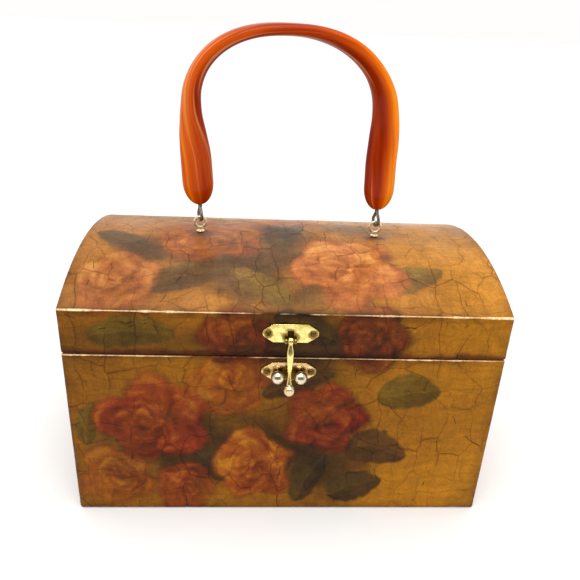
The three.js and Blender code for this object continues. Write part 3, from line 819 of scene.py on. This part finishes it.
def board_mesh(node, low, high, rounds, outer, pitch, shape, seed):
    """A board with rounded outer edges, its paper's colours, wear and painted edge highlight on its points,
    and its sheet map.
    """
    rounds = np.array([rounds.get(side, 0.0) for side in SIDES]).reshape(3, 2)
    thin = int(np.argmin(high - low))
    steps = [THICK_PITCH if axis == thin else pitch for axis in range(3)]
    lines = [grid_lines(low[axis], high[axis], *rounds[axis], steps[axis]) for axis in range(3)]
    flat, quads, sides = grid_box(lines)
    core = np.clip(flat, low + rounds[:, 0], high - rounds[:, 1])
    away = flat - core
    points = core + rounded(away, rounds) + relief(flat, away, low, high, rounds, outer, seed)
    points = shape(points, low, high)

    mesh = mesh_of(points, quads)
    papered = [side for side in range(len(SIDES)) if rounds[side // 2, side % 2] > 0]
    mesh.polygons.foreach_set("material_index", np.where(np.isin(sides, papered), 0, 1).astype(np.int32))

    sheet = np.zeros((len(points), 2))
    for side in [*set(range(len(SIDES))).difference(papered), *papered, outer]:
        on_side = np.unique(quads[sides == side])
        sheet[on_side] = unroll(points[on_side], side)
    corners = [unroll(points[quads[sides == side].ravel()], side) for side in range(len(SIDES))]
    layer = mesh.uv_layers.new(name="sheet")
    layer.uv.foreach_set("vector", np.concatenate(corners).astype(np.float32).ravel())

    u, v = sheet.T
    gaps = [inset_from(flat, low, high, side) for side in papered]
    from_edge = np.sort(np.stack(gaps), axis=0)[1] if len(gaps) > 1 else np.full(len(points), FAR)
    wear = np.exp(-from_edge / WEAR.reach)
    wear *= WEAR.share + WEAR.ragged * cloud(u, v, WEAR.patch, seed + BOARD_SEED.wear)
    rub_highlight = np.zeros(len(points))
    if node in HIGHLIGHTED_EDGES:
        gaps = [inset_from(flat, low, high, SIDES.index(side)) for side in HIGHLIGHTED_EDGES[node]]
        rub_highlight = rub_highlight_along(u, np.maximum(*gaps), seed)
    write_points(mesh, "paint", picture(u, v))
    write_points(mesh, "wear", np.clip(wear, 0, 1))
    write_points(mesh, "rub_highlight", np.clip(rub_highlight, 0, 1))
    return mesh


def make_boards(paper, long_wood, end_wood):
    """Every board of box and lid. Glued ends reach their neighbours, so that no gap shows in the paper."""
    boxes = {node: span(node) for node, slot in SLOT_OF.items() if slot == "papered_wood"}
    boxes["dome_panel"] = [(-HALF_W, -DOME_HALF_ARC, -DOME_THICK), (HALF_W, DOME_HALF_ARC, 0.0)]
    between_walls = boxes["front_wall"][1][1], boxes["back_wall"][0][1]
    between_ends = boxes["left_wall"][1][0], boxes["right_wall"][0][0]
    wall_rims = {"under": FOOT_ROUND, "top": SEAM_ROUND}
    lid_rim = {"under": SEAM_ROUND}
    boards = table(
        "node rims corners outer pitch shape",
        ("front_wall", wall_rims, "left right front", "front", PAPER_PITCH, as_made),
        ("back_wall", wall_rims, "left right back", "back", PLAIN_PITCH, as_made),
        ("left_wall", wall_rims, "left", "left", PLAIN_PITCH, as_made),
        ("right_wall", wall_rims, "right", "right", PLAIN_PITCH, as_made),
        ("base_panel", {}, "", "under", PLAIN_PITCH, as_made),
        ("lid_front_rail", lid_rim, "left right front", "front", PAPER_PITCH, under_arch),
        ("lid_back_rail", lid_rim, "left right back", "back", PLAIN_PITCH, under_arch),
        ("lid_left_end", lid_rim, "left", "left", PLAIN_PITCH, under_arch),
        ("lid_right_end", lid_rim, "right", "right", PLAIN_PITCH, under_arch),
        ("dome_panel", {}, "left right front back top", "top", PAPER_PITCH, bent),
    )
    for index, row in enumerate(boards):
        low, high = (np.array(corner) for corner in boxes[row.node])
        if row.outer in ("left", "right", "under"):
            low[1], high[1] = between_walls
        if row.outer == "under":
            low[0], high[0] = between_ends
        rounds = {**row.rims, **dict.fromkeys(row.corners.split(), CORNER_ROUND)}
        seed = BOARD_SEED.first + BOARD_SEED.step * index
        mesh = board_mesh(row.node, low, high, rounds, SIDES.index(row.outer), row.pitch, row.shape, seed)
        dress(row.node, mesh, paper, end_wood if row.outer in ("left", "right") else long_wood)


# Handle and eyes


def handle_rows():
    """Centres and sizes of the handle's sections from the left foot over the crown to the right foot."""
    places, sizes = [], []
    foot, crown = HALF_HANDLE[0].height, HALF_HANDLE[-1].height
    for side, order in ((-1, HALF_HANDLE), (1, HALF_HANDLE[-2::-1])):
        for row in order:
            lean = HANDLE_LEAN * (row.height - foot) / (crown - foot)
            twist = row.left if side < 0 else 180 - row.right
            places.append((HANDLE_X + side * row.spread - lean, 0.0, row.height))
            sizes.append((row.wide, row.thick, math.radians(twist)))
    return places, sizes


def make_handle(amber):
    places, sizes = handle_rows()
    last = len(places) - 1
    stations = np.linspace(0, last, last * HANDLE_STEPS + 1)
    ends = 1 - np.cos(np.linspace(0, math.pi / 2, 2 * HANDLE_STEPS + 1))
    stations = np.concatenate([ends, stations[(stations > 1) & (stations < last - 1)], last - ends[::-1]])
    centres = along_curve(places, stations)
    wide, thick, twist = along_curve(sizes, stations).T
    feet = np.array([places[0], places[-1]])
    from_foot = np.linalg.norm(centres[:, None, :] - feet[None], axis=2).min(axis=1)
    cap = np.sqrt(1 - np.clip(1 - (from_foot + FOOT_CAP.blunt) / FOOT_CAP.length, 0, 1) ** 2)
    plane = np.array([0.0, 1.0, 0.0])
    rings = oval_rings(centres, plane, wide * cap, thick * cap, twist, HANDLE_SIDES, HANDLE_ROUNDNESS)

    bores = []
    for foot, order in ((0, 1), (-1, -1)):
        circle = feet[foot] + BORE.radius * unit_rows(rings[foot] - centres[foot])
        bores.append(np.stack([circle + np.array([0, 0, BORE.depth]), circle])[::order])
    all_rings = np.concatenate([bores[0], rings, bores[1]])
    mesh = mesh_of(*skin(all_rings))

    # What the amber reads: places in the straightened bar, and how far out of the arch a point lies, which
    # sets its painted light and shade
    shaft = slice(len(bores[0]), -len(bores[1]))
    travelled = np.concatenate([[0], np.cumsum(np.linalg.norm(np.diff(centres, axis=0), axis=1))])
    angle = around(HANDLE_SIDES)
    grain = np.zeros_like(all_rings)
    grain[shaft, :, 0] = (wide / 2)[:, None] * np.cos(angle)
    grain[shaft, :, 1] = (thick / 2)[:, None] * np.sin(angle)
    grain[shaft, :, 2] = travelled[:, None]
    tangents = unit_rows(np.gradient(centres, axis=0))
    outward = np.cross(tangents, plane) * np.abs(tangents[:, 2:])
    painted_side_light = np.zeros(all_rings.shape[:2])
    painted_side_light[shaft] = np.einsum("rsx,rx->rs", rings - centres[:, None, :], outward) / (HALF_HANDLE[0].wide / 2)
    write_points(mesh, "grain", grain.reshape(-1, 3))
    write_points(mesh, "painted_side_light", painted_side_light.ravel())
    dress("handle_grip", mesh, amber)


def lid_eye():
    """A flared collar on the dome with a wire ring standing on it, about the seat's middle."""
    seat = CREST + FIT
    edge_z = seat + COLLAR.edge
    wide, lip = COLLAR.radius, COLLAR.lip
    profile = [(wide - lip, seat), (wide, seat + lip), (wide, edge_z)]
    for angle in np.linspace(0, math.pi / 2, COLLAR.steps)[1:]:
        radius = wide - (wide - COLLAR.neck) * math.sin(angle)
        profile.append((radius, edge_z + (COLLAR.height - COLLAR.edge) * (1 - math.cos(angle))))
    profile.append((COLLAR.neck, RING.centre_z - RING.radius))
    turn = around(RING.steps)
    circle = RING.radius * np.stack([np.sin(turn), 0 * turn, np.cos(turn)], axis=1)
    centres = circle + np.array([0, 0, RING.centre_z])
    wire = 2 * RING.wire
    ring = skin(oval_rings(centres, (0, 1, 0), wire, wire, 0.0, WIRE_SIDES, closed=True), closed=True)
    return [turned_solid(profile), ring]


def handle_eye():
    """A teardrop wire loop under a stub and shank, about the swing axis, with the loop turned about Z."""
    middle = LOOP.radius - LOOP.drop
    meet = math.pi - math.acos(LOOP.radius / (LOOP.height - LOOP.radius))
    arc = np.linspace(-meet, meet, LOOP.arc_steps)
    low = np.stack([LOOP.radius * np.sin(arc), 0 * arc, middle - LOOP.radius * np.cos(arc)], axis=1)
    legs = np.linspace(0, 1, LOOP.leg_steps)[1:, None]
    top = np.array([0, 0, LOOP.height - LOOP.drop])
    down, up = (end + legs * (top - end) for end in (low[0], low[-1]))
    centres = np.concatenate([down[::-1], low, up])
    wire = 2 * LOOP.wire
    points, faces = skin(oval_rings(centres, (0, -1, 0), wire, wire, 0.0, WIRE_SIDES))
    turn = np.array(Matrix.Rotation(math.radians(LOOP.turn), 3, "Z"))
    stub = turned_solid([
        (STUB.radius - STUB.lip, STUB.foot),
        (STUB.radius, STUB.foot + STUB.lip),
        (STUB.radius, STUB.top - STUB.lip),
        (STUB.radius - STUB.lip, STUB.top),
        (STUB.shank, STUB.top),
        (STUB.shank, STUB.shank_top),
    ])
    return [(points @ turn.T, faces), stub]


def make_eyes(brass, steel):
    for side, name in PAIR:
        x = HANDLE_X + side * EYE_SPREAD
        eye = [moved(solid, (x, 0, 0)) for solid in lid_eye()]
        dress(f"lid_eye_{name}", fused(eye), brass)
        eye = [moved(solid, (x, 0, SWING_Z)) for solid in handle_eye()]
        dress(f"handle_eye_{name}", fused(eye), steel)


# Clasp


def arc_points(centre_x, centre_y, radius, start, end, steps):
    angle = np.radians(np.linspace(start, end, steps))
    return np.stack([centre_x + radius * np.cos(angle), centre_y + radius * np.sin(angle)], axis=1)


def rectangle(x0, x1, y0, y1):
    return np.array([(x0, y0), (x1, y0), (x1, y1), (x0, y1)])


def plate_outline(notch_top=None):
    """Plate outline about its middle: straight edges, sloping shoulders and round ends."""
    edge_x, edge_y = PLATE.straight / 2, PLATE.height / 2
    end_x = PLATE.width / 2 - PLATE.lobe
    from_end = math.hypot(edge_x - end_x, edge_y)
    touch = math.degrees(math.atan2(edge_y, edge_x - end_x) - math.acos(PLATE.lobe / from_end))
    end = arc_points(end_x, 0, PLATE.lobe, -touch, touch, PLATE.end_steps)
    right = np.concatenate([[(edge_x, -edge_y)], end, [(edge_x, edge_y)]])
    outline = [right, -right]
    if notch_top is not None:
        half = NOTCH.half
        outline.append(np.array([(-half, -edge_y), (-half, notch_top), (half, notch_top), (half, -edge_y)]))
    return np.concatenate(outline)


def flat_plate(outline, thick, bevel, holes=()):
    """Points and faces of a flat plate from Z 0 to thick with rounded edges, from its outline and holes."""
    curve = bpy.data.curves.new("outline", "CURVE")
    curve.dimensions = "2D"
    curve.fill_mode = "BOTH"
    curve.extrude = MM * (thick / 2 - bevel)
    curve.bevel_depth = MM * bevel
    curve.bevel_resolution = BEVEL_STEPS
    curve.offset = -MM * bevel
    for loop in [outline, *holes]:
        spline = curve.splines.new("POLY")
        spline.points.add(len(loop) - 1)
        for point, (x, y) in zip(spline.points, loop):
            point.co = (MM * x, MM * y, 0, 1)
        spline.use_cyclic_u = True
    holder = put("outline", curve)
    mesh = final_mesh(holder)
    bpy.data.objects.remove(holder)
    bpy.data.curves.remove(curve)
    points = np.array([vertex.co for vertex in mesh.vertices]) / MM + np.array([0, 0, thick / 2])
    faces = [list(face.vertices) for face in mesh.polygons]
    bpy.data.meshes.remove(mesh)
    return merged(points, faces)


def merged(points, faces, grid=1e-3):
    """Joins points that lie on each other and drops the faces that this closes up."""
    keys = np.round(points / grid).astype(int)
    _, first, index = np.unique(keys, axis=0, return_index=True, return_inverse=True)
    index = index.ravel()
    kept = []
    for face in faces:
        corners = list(dict.fromkeys(int(index[corner]) for corner in face))
        if len(corners) > 2:
            kept.append(corners)
    return points[first], kept


def drilled_plate(outline):
    steps = NAIL.hole_steps + 1
    holes = [arc_points(side * NAIL.spread, 0, NAIL.hole, 360, 0, steps)[:-1] for side in (-1, 1)]
    return flat_plate(outline, PLATE.thick, PLATE.bevel, holes)


def make_plates(upper_brass, lower_brass):
    lower = facing_front(drilled_plate(plate_outline()), CLASP_X, FIT, LOWER_PLATE_Z)
    dress("lower_clasp_plate", mesh_of(*lower, sharp=SHARP_PLATE_EDGE), lower_brass)

    solids = [drilled_plate(plate_outline(NOTCH.top_z - UPPER_PLATE_Z))]
    axis_y, axis_out = PIVOT.z - UPPER_PLATE_Z, PIVOT.out - FIT
    web_foot, web_half = PLATE.thick / 2, LUG.radius - LUG.web_below
    for side in (-1, 1):
        x0, x1 = sorted((side * LUG.inner, side * LUG.outer))
        solids.append(moved(bar_along_x(LUG.radius, x0, x1, LUG.chamfer), (0, axis_y, axis_out)))
        web = rectangle(x0 + LUG.web_inset, x1 - LUG.web_inset, axis_y - web_half, axis_y + web_half)
        solids.append(moved(flat_plate(web, axis_out - web_foot, LUG.web_bevel), (0, 0, web_foot)))
    pin_half = (LUG.inner + LUG.outer) / 2
    solids.append(moved(bar_along_x(PIVOT.pin, -pin_half, pin_half), (0, axis_y, axis_out)))
    solids = [facing_front(solid, CLASP_X, FIT, UPPER_PLATE_Z) for solid in solids]
    dress("upper_clasp_plate", fused(solids, sharp=SHARP_PLATE_EDGE), upper_brass)


def round_end(radius, height, start, end, steps):
    """Profile points round a ball or dome, between two angles from its pole."""
    return [(radius * math.sin(angle), height * math.cos(angle)) for angle in np.linspace(start, end, steps)]


def ball_profile():
    """A flange, a short neck and a ball, from the plate outwards."""
    neck_angle = math.asin(STUD.neck / STUD.ball)
    ball = round_end(STUD.ball, STUD.ball, math.pi - neck_angle, POLE.ball, STUD.ball_steps)
    return [
        (FLANGE.radius, 0),
        (FLANGE.radius, FLANGE.thick - FLANGE.lip),
        (FLANGE.radius - FLANGE.lip, FLANGE.thick),
        (STUD.neck, FLANGE.thick),
        *[(radius, STUD.ball_out + height) for radius, height in ball],
    ]


def nail_profile():
    head = round_end(NAIL.head, NAIL.dome, math.pi / 2, POLE.nail, NAIL.dome_steps)
    return [(NAIL.shank, -PLATE.thick), (NAIL.shank, 0), *head]


def knob_profile():
    """A ball with a flattened front."""
    ball = round_end(KNOB.radius, KNOB.radius, math.pi - POLE.knob_back, POLE.knob_front, KNOB.steps)
    flat = KNOB.flat * KNOB.radius
    return [(radius, min(height, flat + KNOB.crown * height / KNOB.radius)) for radius, height in ball]


def make_fixings(silver, bronze):
    out = 2 * FIT + PLATE.thick
    for side, name in PAIR:
        for level, z in (("upper", UPPER_PLATE_Z), ("lower", LOWER_PLATE_Z)):
            nail = facing_front(turned_solid(nail_profile()), CLASP_X + side * NAIL.spread, out, z)
            dress(f"{level}_nail_{name}", mesh_of(*nail), bronze)
        ball = facing_front(turned_solid(ball_profile()), CLASP_X + side * STUD.spread, out, STUD.z)
        dress(f"clasp_stud_{name}", mesh_of(*ball), silver)


def make_arm(brass):
    """The swinging arm: an eye round the pin, a waisted strip and a round knob with a flat front."""
    stations = np.linspace(0, len(ARM) - 1, ARM_STEPS + 1)
    centres = along_curve([(CLASP_X, -HALF_D - row.out, PIVOT.z - row.drop) for row in ARM], stations)
    deep, wide = along_curve([(row.deep, row.wide) for row in ARM], stations).T
    strip = skin(oval_rings(centres, (1, 0, 0), deep, wide, 0.0, ARM_SIDES))
    pivot = (CLASP_X, -HALF_D - PIVOT.out, PIVOT.z)
    eye = moved(bar_along_x(ARM_EYE.outer, -ARM_EYE.half, ARM_EYE.half, ARM_EYE.chamfer), pivot)
    bore = moved(bar_along_x(ARM_EYE.bore, -2 * ARM_EYE.half, 2 * ARM_EYE.half), pivot)
    knob = facing_front(turned_solid(knob_profile()), CLASP_X, ARM[-1].out, PIVOT.z - ARM[-1].drop)
    dress("clasp_arm", fused([strip, eye, knob], [bore]), brass)


# Back hinges


def hinge_solids(tabs):
    """Leaf and knuckles about the barrel's middle, with the leaf towards +Y."""
    inset = HINGE_CORNER.radius
    corner_x, corner_y = HINGE.half - inset, HINGE.leaf - inset
    outline = np.concatenate([
        np.array([(-HINGE.half, HINGE.relief), (HINGE.half, HINGE.relief)]),
        arc_points(corner_x, corner_y, inset, 0, 90, HINGE_CORNER.steps),
        arc_points(-corner_x, corner_y, inset, 90, 180, HINGE_CORNER.steps),
    ])
    solids = [flat_plate(outline, HINGE.thick, HINGE.bevel)]
    for x0, x1 in tabs:
        tab = rectangle(x0, x1, -HINGE_TAB.below, HINGE.relief + HINGE.thick)
        solids.append(flat_plate(tab, HINGE.thick, HINGE_TAB.bevel))
        solids.append(on_barrel(bar_along_x(KNUCKLE.radius, x0, x1, KNUCKLE.chamfer)))
    return solids


def on_barrel(bar):
    return moved(bar, (0, 0, HINGE.out - FIT))


def at_back(solid, x):
    points, faces = facing_front(solid, 0, FIT, HINGE_Z)
    return points * HALF_TURN + np.array([x, 0, 0]), faces


def make_hinges(brass):
    outer_tabs = [(-KNUCKLE.end, -KNUCKLE.start), (KNUCKLE.start, KNUCKLE.end)]
    inner_tab = [(-KNUCKLE.inner, KNUCKLE.inner)]
    pin_half = (KNUCKLE.start + KNUCKLE.end) / 2
    pin = on_barrel(bar_along_x(KNUCKLE.pin, -pin_half, pin_half))
    bore = on_barrel(bar_along_x(KNUCKLE.bore, -KNUCKLE.start, KNUCKLE.start))
    hanging = [(points * HALF_TURN, faces) for points, faces in hinge_solids(outer_tabs)]
    standing = hinge_solids(inner_tab)
    for side, name in PAIR:
        x = side * HINGE.spread
        lower = [at_back(solid, x) for solid in [*hanging, pin]]
        dress(f"hinge_lower_{name}", fused(lower), brass)
        upper = [at_back(solid, x) for solid in standing]
        dress(f"hinge_upper_{name}", fused(upper, [at_back(bore, x)]), brass)


# Materials


class Look:
    """A material with one Principled shader, whose even values are set on its own sockets."""

    def __init__(self, name, **even):
        self.material = bpy.data.materials.new(name)
        self.material.use_nodes = True
        self.tree = self.material.node_tree
        self.tree.nodes.clear()
        self.shader = self.add("BsdfPrincipled")
        for key, value in even.items():
            self.shader.inputs[key.replace("_", " ")].default_value = value
        output = self.add("OutputMaterial")
        self.tree.links.new(self.shader.outputs[0], output.inputs[0])

    def add(self, kind, inputs=None, **settings):
        made = self.tree.nodes.new("ShaderNode" + kind)
        for key, value in settings.items():
            setattr(made, key, value)
        for key, value in (inputs or {}).items():
            if isinstance(value, bpy.types.NodeSocket):
                self.tree.links.new(value, made.inputs[key])
            else:
                made.inputs[key].default_value = value
        return made

    def feed(self, socket, value):
        self.tree.links.new(value, self.shader.inputs[socket])

    def points(self, name, output="Fac"):
        """What write_points kept under a name."""
        return self.add("Attribute", attribute_name=name).outputs[output]

    def math(self, operation, a, b=0.0, c=0.0):
        return self.add("Math", {0: a, 1: b, 2: c}, operation=operation).outputs[0]

    def vector(self, operation, inputs):
        return self.add("VectorMath", inputs, operation=operation).outputs

    def mix(self, amount, a, b, blend_type="MIX"):
        inputs = {0: amount, 6: a, 7: b}
        return self.add("Mix", inputs, data_type="RGBA", blend_type=blend_type).outputs[2]

    def eased(self, value, tones, results):
        """Goes smoothly from the first result to the second as a value goes from one tone to the other."""
        inputs = dict(enumerate((value, *tones, *results)))
        return self.add("MapRange", inputs, interpolation_type="SMOOTHSTEP").outputs[0]

    def scaled(self, place, scale, offset=(0, 0, 0)):
        return self.add("Mapping", {"Vector": place, "Location": offset, "Scale": scale}).outputs[0]

    def noise(self, place, scale=1.0, detail=2.0, roughness=0.5, dimensions="3D"):
        inputs = {"Vector": place, "Scale": scale, "Detail": detail, "Roughness": roughness}
        return self.add("TexNoise", inputs, noise_dimensions=dimensions).outputs

    def ramp(self, value, stops):
        made = self.add("ValToRGB", {0: value})
        elements = made.color_ramp.elements
        while len(elements) < len(stops):
            elements.new(1.0)
        for element, (position, colour) in zip(elements, stops):
            element.position = position
            element.color = rgba(colour)
        return made.outputs[0]

    def bump(self, height, strength, distance):
        inputs = {"Height": height, "Strength": strength, "Distance": MM * distance}
        self.feed("Normal", self.add("Bump", inputs).outputs[0])


def crack_lines(look, place, row):
    """1 on the lines between cells of about a row's size, 0 away from them."""
    inputs = {"Vector": look.scaled(place, (1 / row.wide, 1 / row.high, 1.0)), "Scale": 1.0}
    inputs["Randomness"] = CRACK_RANDOM
    voronoi = look.add("TexVoronoi", inputs, feature="DISTANCE_TO_EDGE", voronoi_dimensions="2D")
    half_width = row.half / math.sqrt(row.wide * row.high)
    return look.eased(voronoi.outputs["Distance"], (0.0, half_width), (1.0, 0.0))


def papered_wood():
    """Printed paper under aged, crackled varnish."""
    look = Look("papered_wood", Specular_IOR_Level=VARNISH.gloss)
    sheet = look.add("UVMap", uv_map="sheet").outputs[0]
    noises = {}
    for row in SHEET_NOISES:
        noises[row.name] = look.noise(sheet, 1 / row.size, row.detail, row.roughness, "2D")
    tones = {name: outputs["Fac"] for name, outputs in noises.items()}

    drift = look.vector("SUBTRACT", {0: noises["drift"]["Color"], 1: [NOISE_MIDDLE] * 3})[0]
    drift = look.vector("SCALE", {0: drift, "Scale": CRACK_DRIFT})[0]
    place = look.vector("ADD", {0: sheet, 1: drift})[0]
    cracks = 0.0
    for row in CRACKS:
        shown = look.eased(tones["patches"], (row.start, row.full), (row.least, row.most))
        lines = look.math("MULTIPLY", crack_lines(look, place, row), shown)
        cracks = look.math("MAXIMUM", cracks, lines)
    shown = look.eased(tones["broken"], SPLITS.shown, (0.0, 1.0))
    splits = look.math("MULTIPLY", crack_lines(look, place, SPLITS), shown)

    colour = look.points("paint", "Color")
    for row in BRUSH:
        strokes = look.scaled(place, (1 / row.wide, 1 / row.high, 1.0))
        strokes = look.noise(strokes, roughness=BRUSH_ROUGHNESS, dimensions="2D")["Fac"]
        strokes = look.eased(strokes, NOISE_TONES, (1 - row.depth, 1 + row.depth))
        colour = look.mix(1.0, colour, strokes, "MULTIPLY")
    for amount, tint in ((cracks, CRACK_TINT), (splits, SPLIT_TINT), (look.points("wear"), WORN_TINT)):
        colour = look.mix(amount, colour, look.mix(1.0, colour, rgba(tint), "MULTIPLY"))
    flecks = look.eased(tones["flecks"], FLECKS.tones, FLECKS.shares)
    # The rubbed line, broken up by flecks, is a painted highlight on rubbed paper
    rubbed_highlight = look.math("MULTIPLY", look.points("rub_highlight"), flecks)
    look.feed("Base Color", look.mix(rubbed_highlight, colour, rgba(RUBBED_HIGHLIGHT_COLOUR)))

    roughness = look.eased(tones["smear"], NOISE_TONES, VARNISH.roughness)
    roughness = look.math("ADD", roughness, look.math("MULTIPLY", cracks, VARNISH.cracked))
    look.feed("Roughness", roughness)

    depth = look.math("MAXIMUM", look.math("MULTIPLY", cracks, VARNISH_BUMP.crack), splits)
    ripple = look.math("MULTIPLY", tones["ripple"], VARNISH_BUMP.ripple)
    look.bump(look.math("SUBTRACT", ripple, depth), VARNISH_BUMP.strength, VARNISH_BUMP.distance)
    return look.material


def plain_wood(name, grain_axis):
    """Varnished wood for the inside and underside, with its grain along one axis."""
    look = Look(name, Specular_IOR_Level=WOOD.gloss)
    place = look.add("TexCoord").outputs["Object"]
    grain = NOISE_MIDDLE
    for row in WOOD_GRAIN:
        scale = [row.along if axis == grain_axis else row.across for axis in range(3)]
        lines = look.noise(look.scaled(place, scale), detail=WOOD.detail, roughness=WOOD.fine)["Fac"]
        lines = look.math("SUBTRACT", lines, NOISE_MIDDLE)
        grain = look.math("MULTIPLY_ADD", lines, row.weight, grain)
    look.feed("Base Color", look.ramp(grain, WOOD_STOPS))
    look.feed("Roughness", look.eased(grain, NOISE_TONES, WOOD.roughness))
    look.bump(grain, WOOD.strength, WOOD.distance)
    return look.material


def amber_resin():
    """Marbled amber: broad lengthwise bands, painted redder towards the inside of the arch and lighter
    outside as painted light, with pale lines of painted highlight, polished.
    """
    scatter = {"Subsurface_Weight": AMBER.scatter, "Subsurface_Scale": MM * AMBER.scatter_reach}
    look = Look("amber_resin", Specular_IOR_Level=AMBER.gloss, **scatter)
    grain = look.points("grain", "Vector")
    # Painted light and shade: lighter on the outer sides, darker inside the arch
    tone = look.eased(look.points("painted_side_light"), (AMBER.inner, AMBER.outer), (AMBER.low, AMBER.high))
    for row in AMBER_BANDS:
        band = look.noise(look.scaled(grain, row.scale), roughness=AMBER_BAND_ROUGHNESS)["Fac"]
        band = look.math("SUBTRACT", band, NOISE_MIDDLE)
        tone = look.math("MULTIPLY_ADD", band, row.weight, tone)
    # Pale lines: painted highlights
    lines = look.noise(look.scaled(grain, AMBER_HIGHLIGHT_LINES.scale), detail=AMBER_HIGHLIGHT_LINES.detail)["Fac"]
    lines = look.eased(lines, AMBER_HIGHLIGHT_LINES.tones, (0.0, AMBER_HIGHLIGHT_LINES.share))
    look.feed("Base Color", look.mix(lines, look.ramp(tone, AMBER_STOPS), rgba(AMBER_HIGHLIGHT_COLOUR)))
    look.feed("Roughness", look.eased(band, AMBER_POLISH.bands, AMBER_POLISH.roughness))
    return look.material


def oval(look, place, ragged, row):
    """1 inside an oval seen from the front and 0 outside it, with a ragged edge."""
    scale = (2 / (MM * row.wide), 0, 2 / (MM * row.high))
    offset = (-2 * (CLASP_X + row.x) / row.wide, 0, -2 * row.z / row.high)
    reach = look.vector("LENGTH", {0: look.scaled(place, scale, offset)})["Value"]
    tones = (SHADE_AND_STAIN_EDGE.reach, SHADE_AND_STAIN_EDGE.reach - SHADE_AND_STAIN_EDGE.soft)
    return look.eased(look.math("ADD", reach, ragged), tones, (0.0, 1.0))


def metal(name, row, shades_and_stains=()):
    """Metal with a film of tarnish in patches, and with ovals of painted shade and stain."""
    look = Look(name, Metallic=1.0)
    place = look.add("TexCoord").outputs["Object"]
    patches = look.noise(place, row.grain * TARNISH.coarse, TARNISH.detail, TARNISH.roughness)["Fac"]
    tones = (TARNISH.bare - row.cover / 2, TARNISH.full - row.cover / 4)
    colour = look.mix(look.eased(patches, tones, (0.0, 1.0)), rgba(row.bright), rgba(row.dull))
    for stain in shades_and_stains:
        colour = look.mix(oval(look, place, patches, stain), colour, rgba(stain.colour))
    look.feed("Base Color", colour)
    look.feed("Roughness", look.eased(patches, NOISE_TONES, row.roughness[::-1]))
    scratches = look.noise(place, row.grain * SCRATCHES.fine)["Fac"]
    look.bump(scratches, SCRATCHES.strength, SCRATCHES.distance)
    return look.material


# Stage


def rotation(degrees, axis):
    return Matrix.Rotation(math.radians(degrees), 4, axis)


def make_camera():
    camera = bpy.data.cameras.new("camera")
    camera.lens = LENS.focal
    camera.sensor_width = LENS.sensor
    camera.clip_start = MM * LENS.near
    holder = put("camera", camera)
    turn = rotation(CAMERA.yaw, "Z") @ rotation(90 - CAMERA.pitch, "X") @ rotation(CAMERA.roll, "Z")
    holder.matrix_world = Matrix.Translation(MM * Vector(CAMERA.place)) @ turn
    bpy.context.scene.camera = holder


def make_lights():
    strip = bpy.data.lights.new("key_strip", "AREA")
    strip.shape = "RECTANGLE"
    strip.size = MM * STRIP.wide
    strip.size_y = MM * STRIP.deep
    strip.energy = STRIP.radiance * math.pi * strip.size * strip.size_y
    place = MM * Vector(STRIP.place)
    aim = (MM * Vector(STRIP.aim) - place).to_track_quat("-Z", "Y").to_matrix().to_4x4()
    sun = bpy.data.lights.new("sky_light", "SUN")
    sun.angle = math.radians(SUN.width)
    sun.energy = SUN.share * math.pi
    for light, matrix in ((strip, Matrix.Translation(place) @ aim), (sun, rotation(SUN.tilt, "X"))):
        holder = put(light.name, light)
        holder.matrix_world = matrix
        holder.visible_camera = False
    world = bpy.data.worlds.new("studio")
    world.use_nodes = True
    background = world.node_tree.nodes["Background"]
    background.inputs["Color"].default_value = rgba(WORLD.colour)
    background.inputs["Strength"].default_value = WORLD.strength
    bpy.context.scene.world = world


def stage_sheet(name, corners, finish):
    """A flat four-cornered sheet of the studio."""
    even = {"Specular_IOR_Level": finish.gloss, "Roughness": finish.roughness}
    look = Look(name, Base_Color=rgba(finish.colour), **even)
    mesh = mesh_of(corners, [(0, 1, 2, 3)])
    mesh.materials.append(look.material)
    sheet = put(name, mesh)
    return sheet


def make_stage():
    """A white floor, and a dark flag in front that only the purse's reflections see."""
    floor = [(x, y, 0) for x, y in rectangle(-FLOOR.half, FLOOR.half, -FLOOR.half, FLOOR.half)]
    stage_sheet("floor", floor, FLOOR)
    flag = [(x, FLAG.y, z) for x, z in rectangle(-FLAG.half, FLAG.half, FLAG.low, FLAG.high)]
    card = stage_sheet("flag", flag, FLAG)
    card.visible_camera = card.visible_diffuse = card.visible_shadow = False


make_boards(papered_wood(), plain_wood("long_wood", 0), plain_wood("end_wood", 1))
make_handle(amber_resin())
metals = {row.name: metal(row.name, row) for row in METALS}
# Copies of one brass that differ only in their ovals of painted shade and stain
clasp = {name: metal(name, CLASP_BRASS, shades_and_stains) for name, shades_and_stains in CLASP_SHADES_AND_STAINS.items()}
make_eyes(metals["eye_brass"], metals["eye_steel"])
make_plates(clasp["upper_brass"], clasp["lower_brass"])
make_fixings(metals["stud_silver"], metals["nail_bronze"])
make_arm(clasp["arm_brass"])
make_hinges(metals["hinge_brass"])
make_stage()
make_lights()
make_camera()
bpy.context.scene.view_settings.view_transform = "Standard"
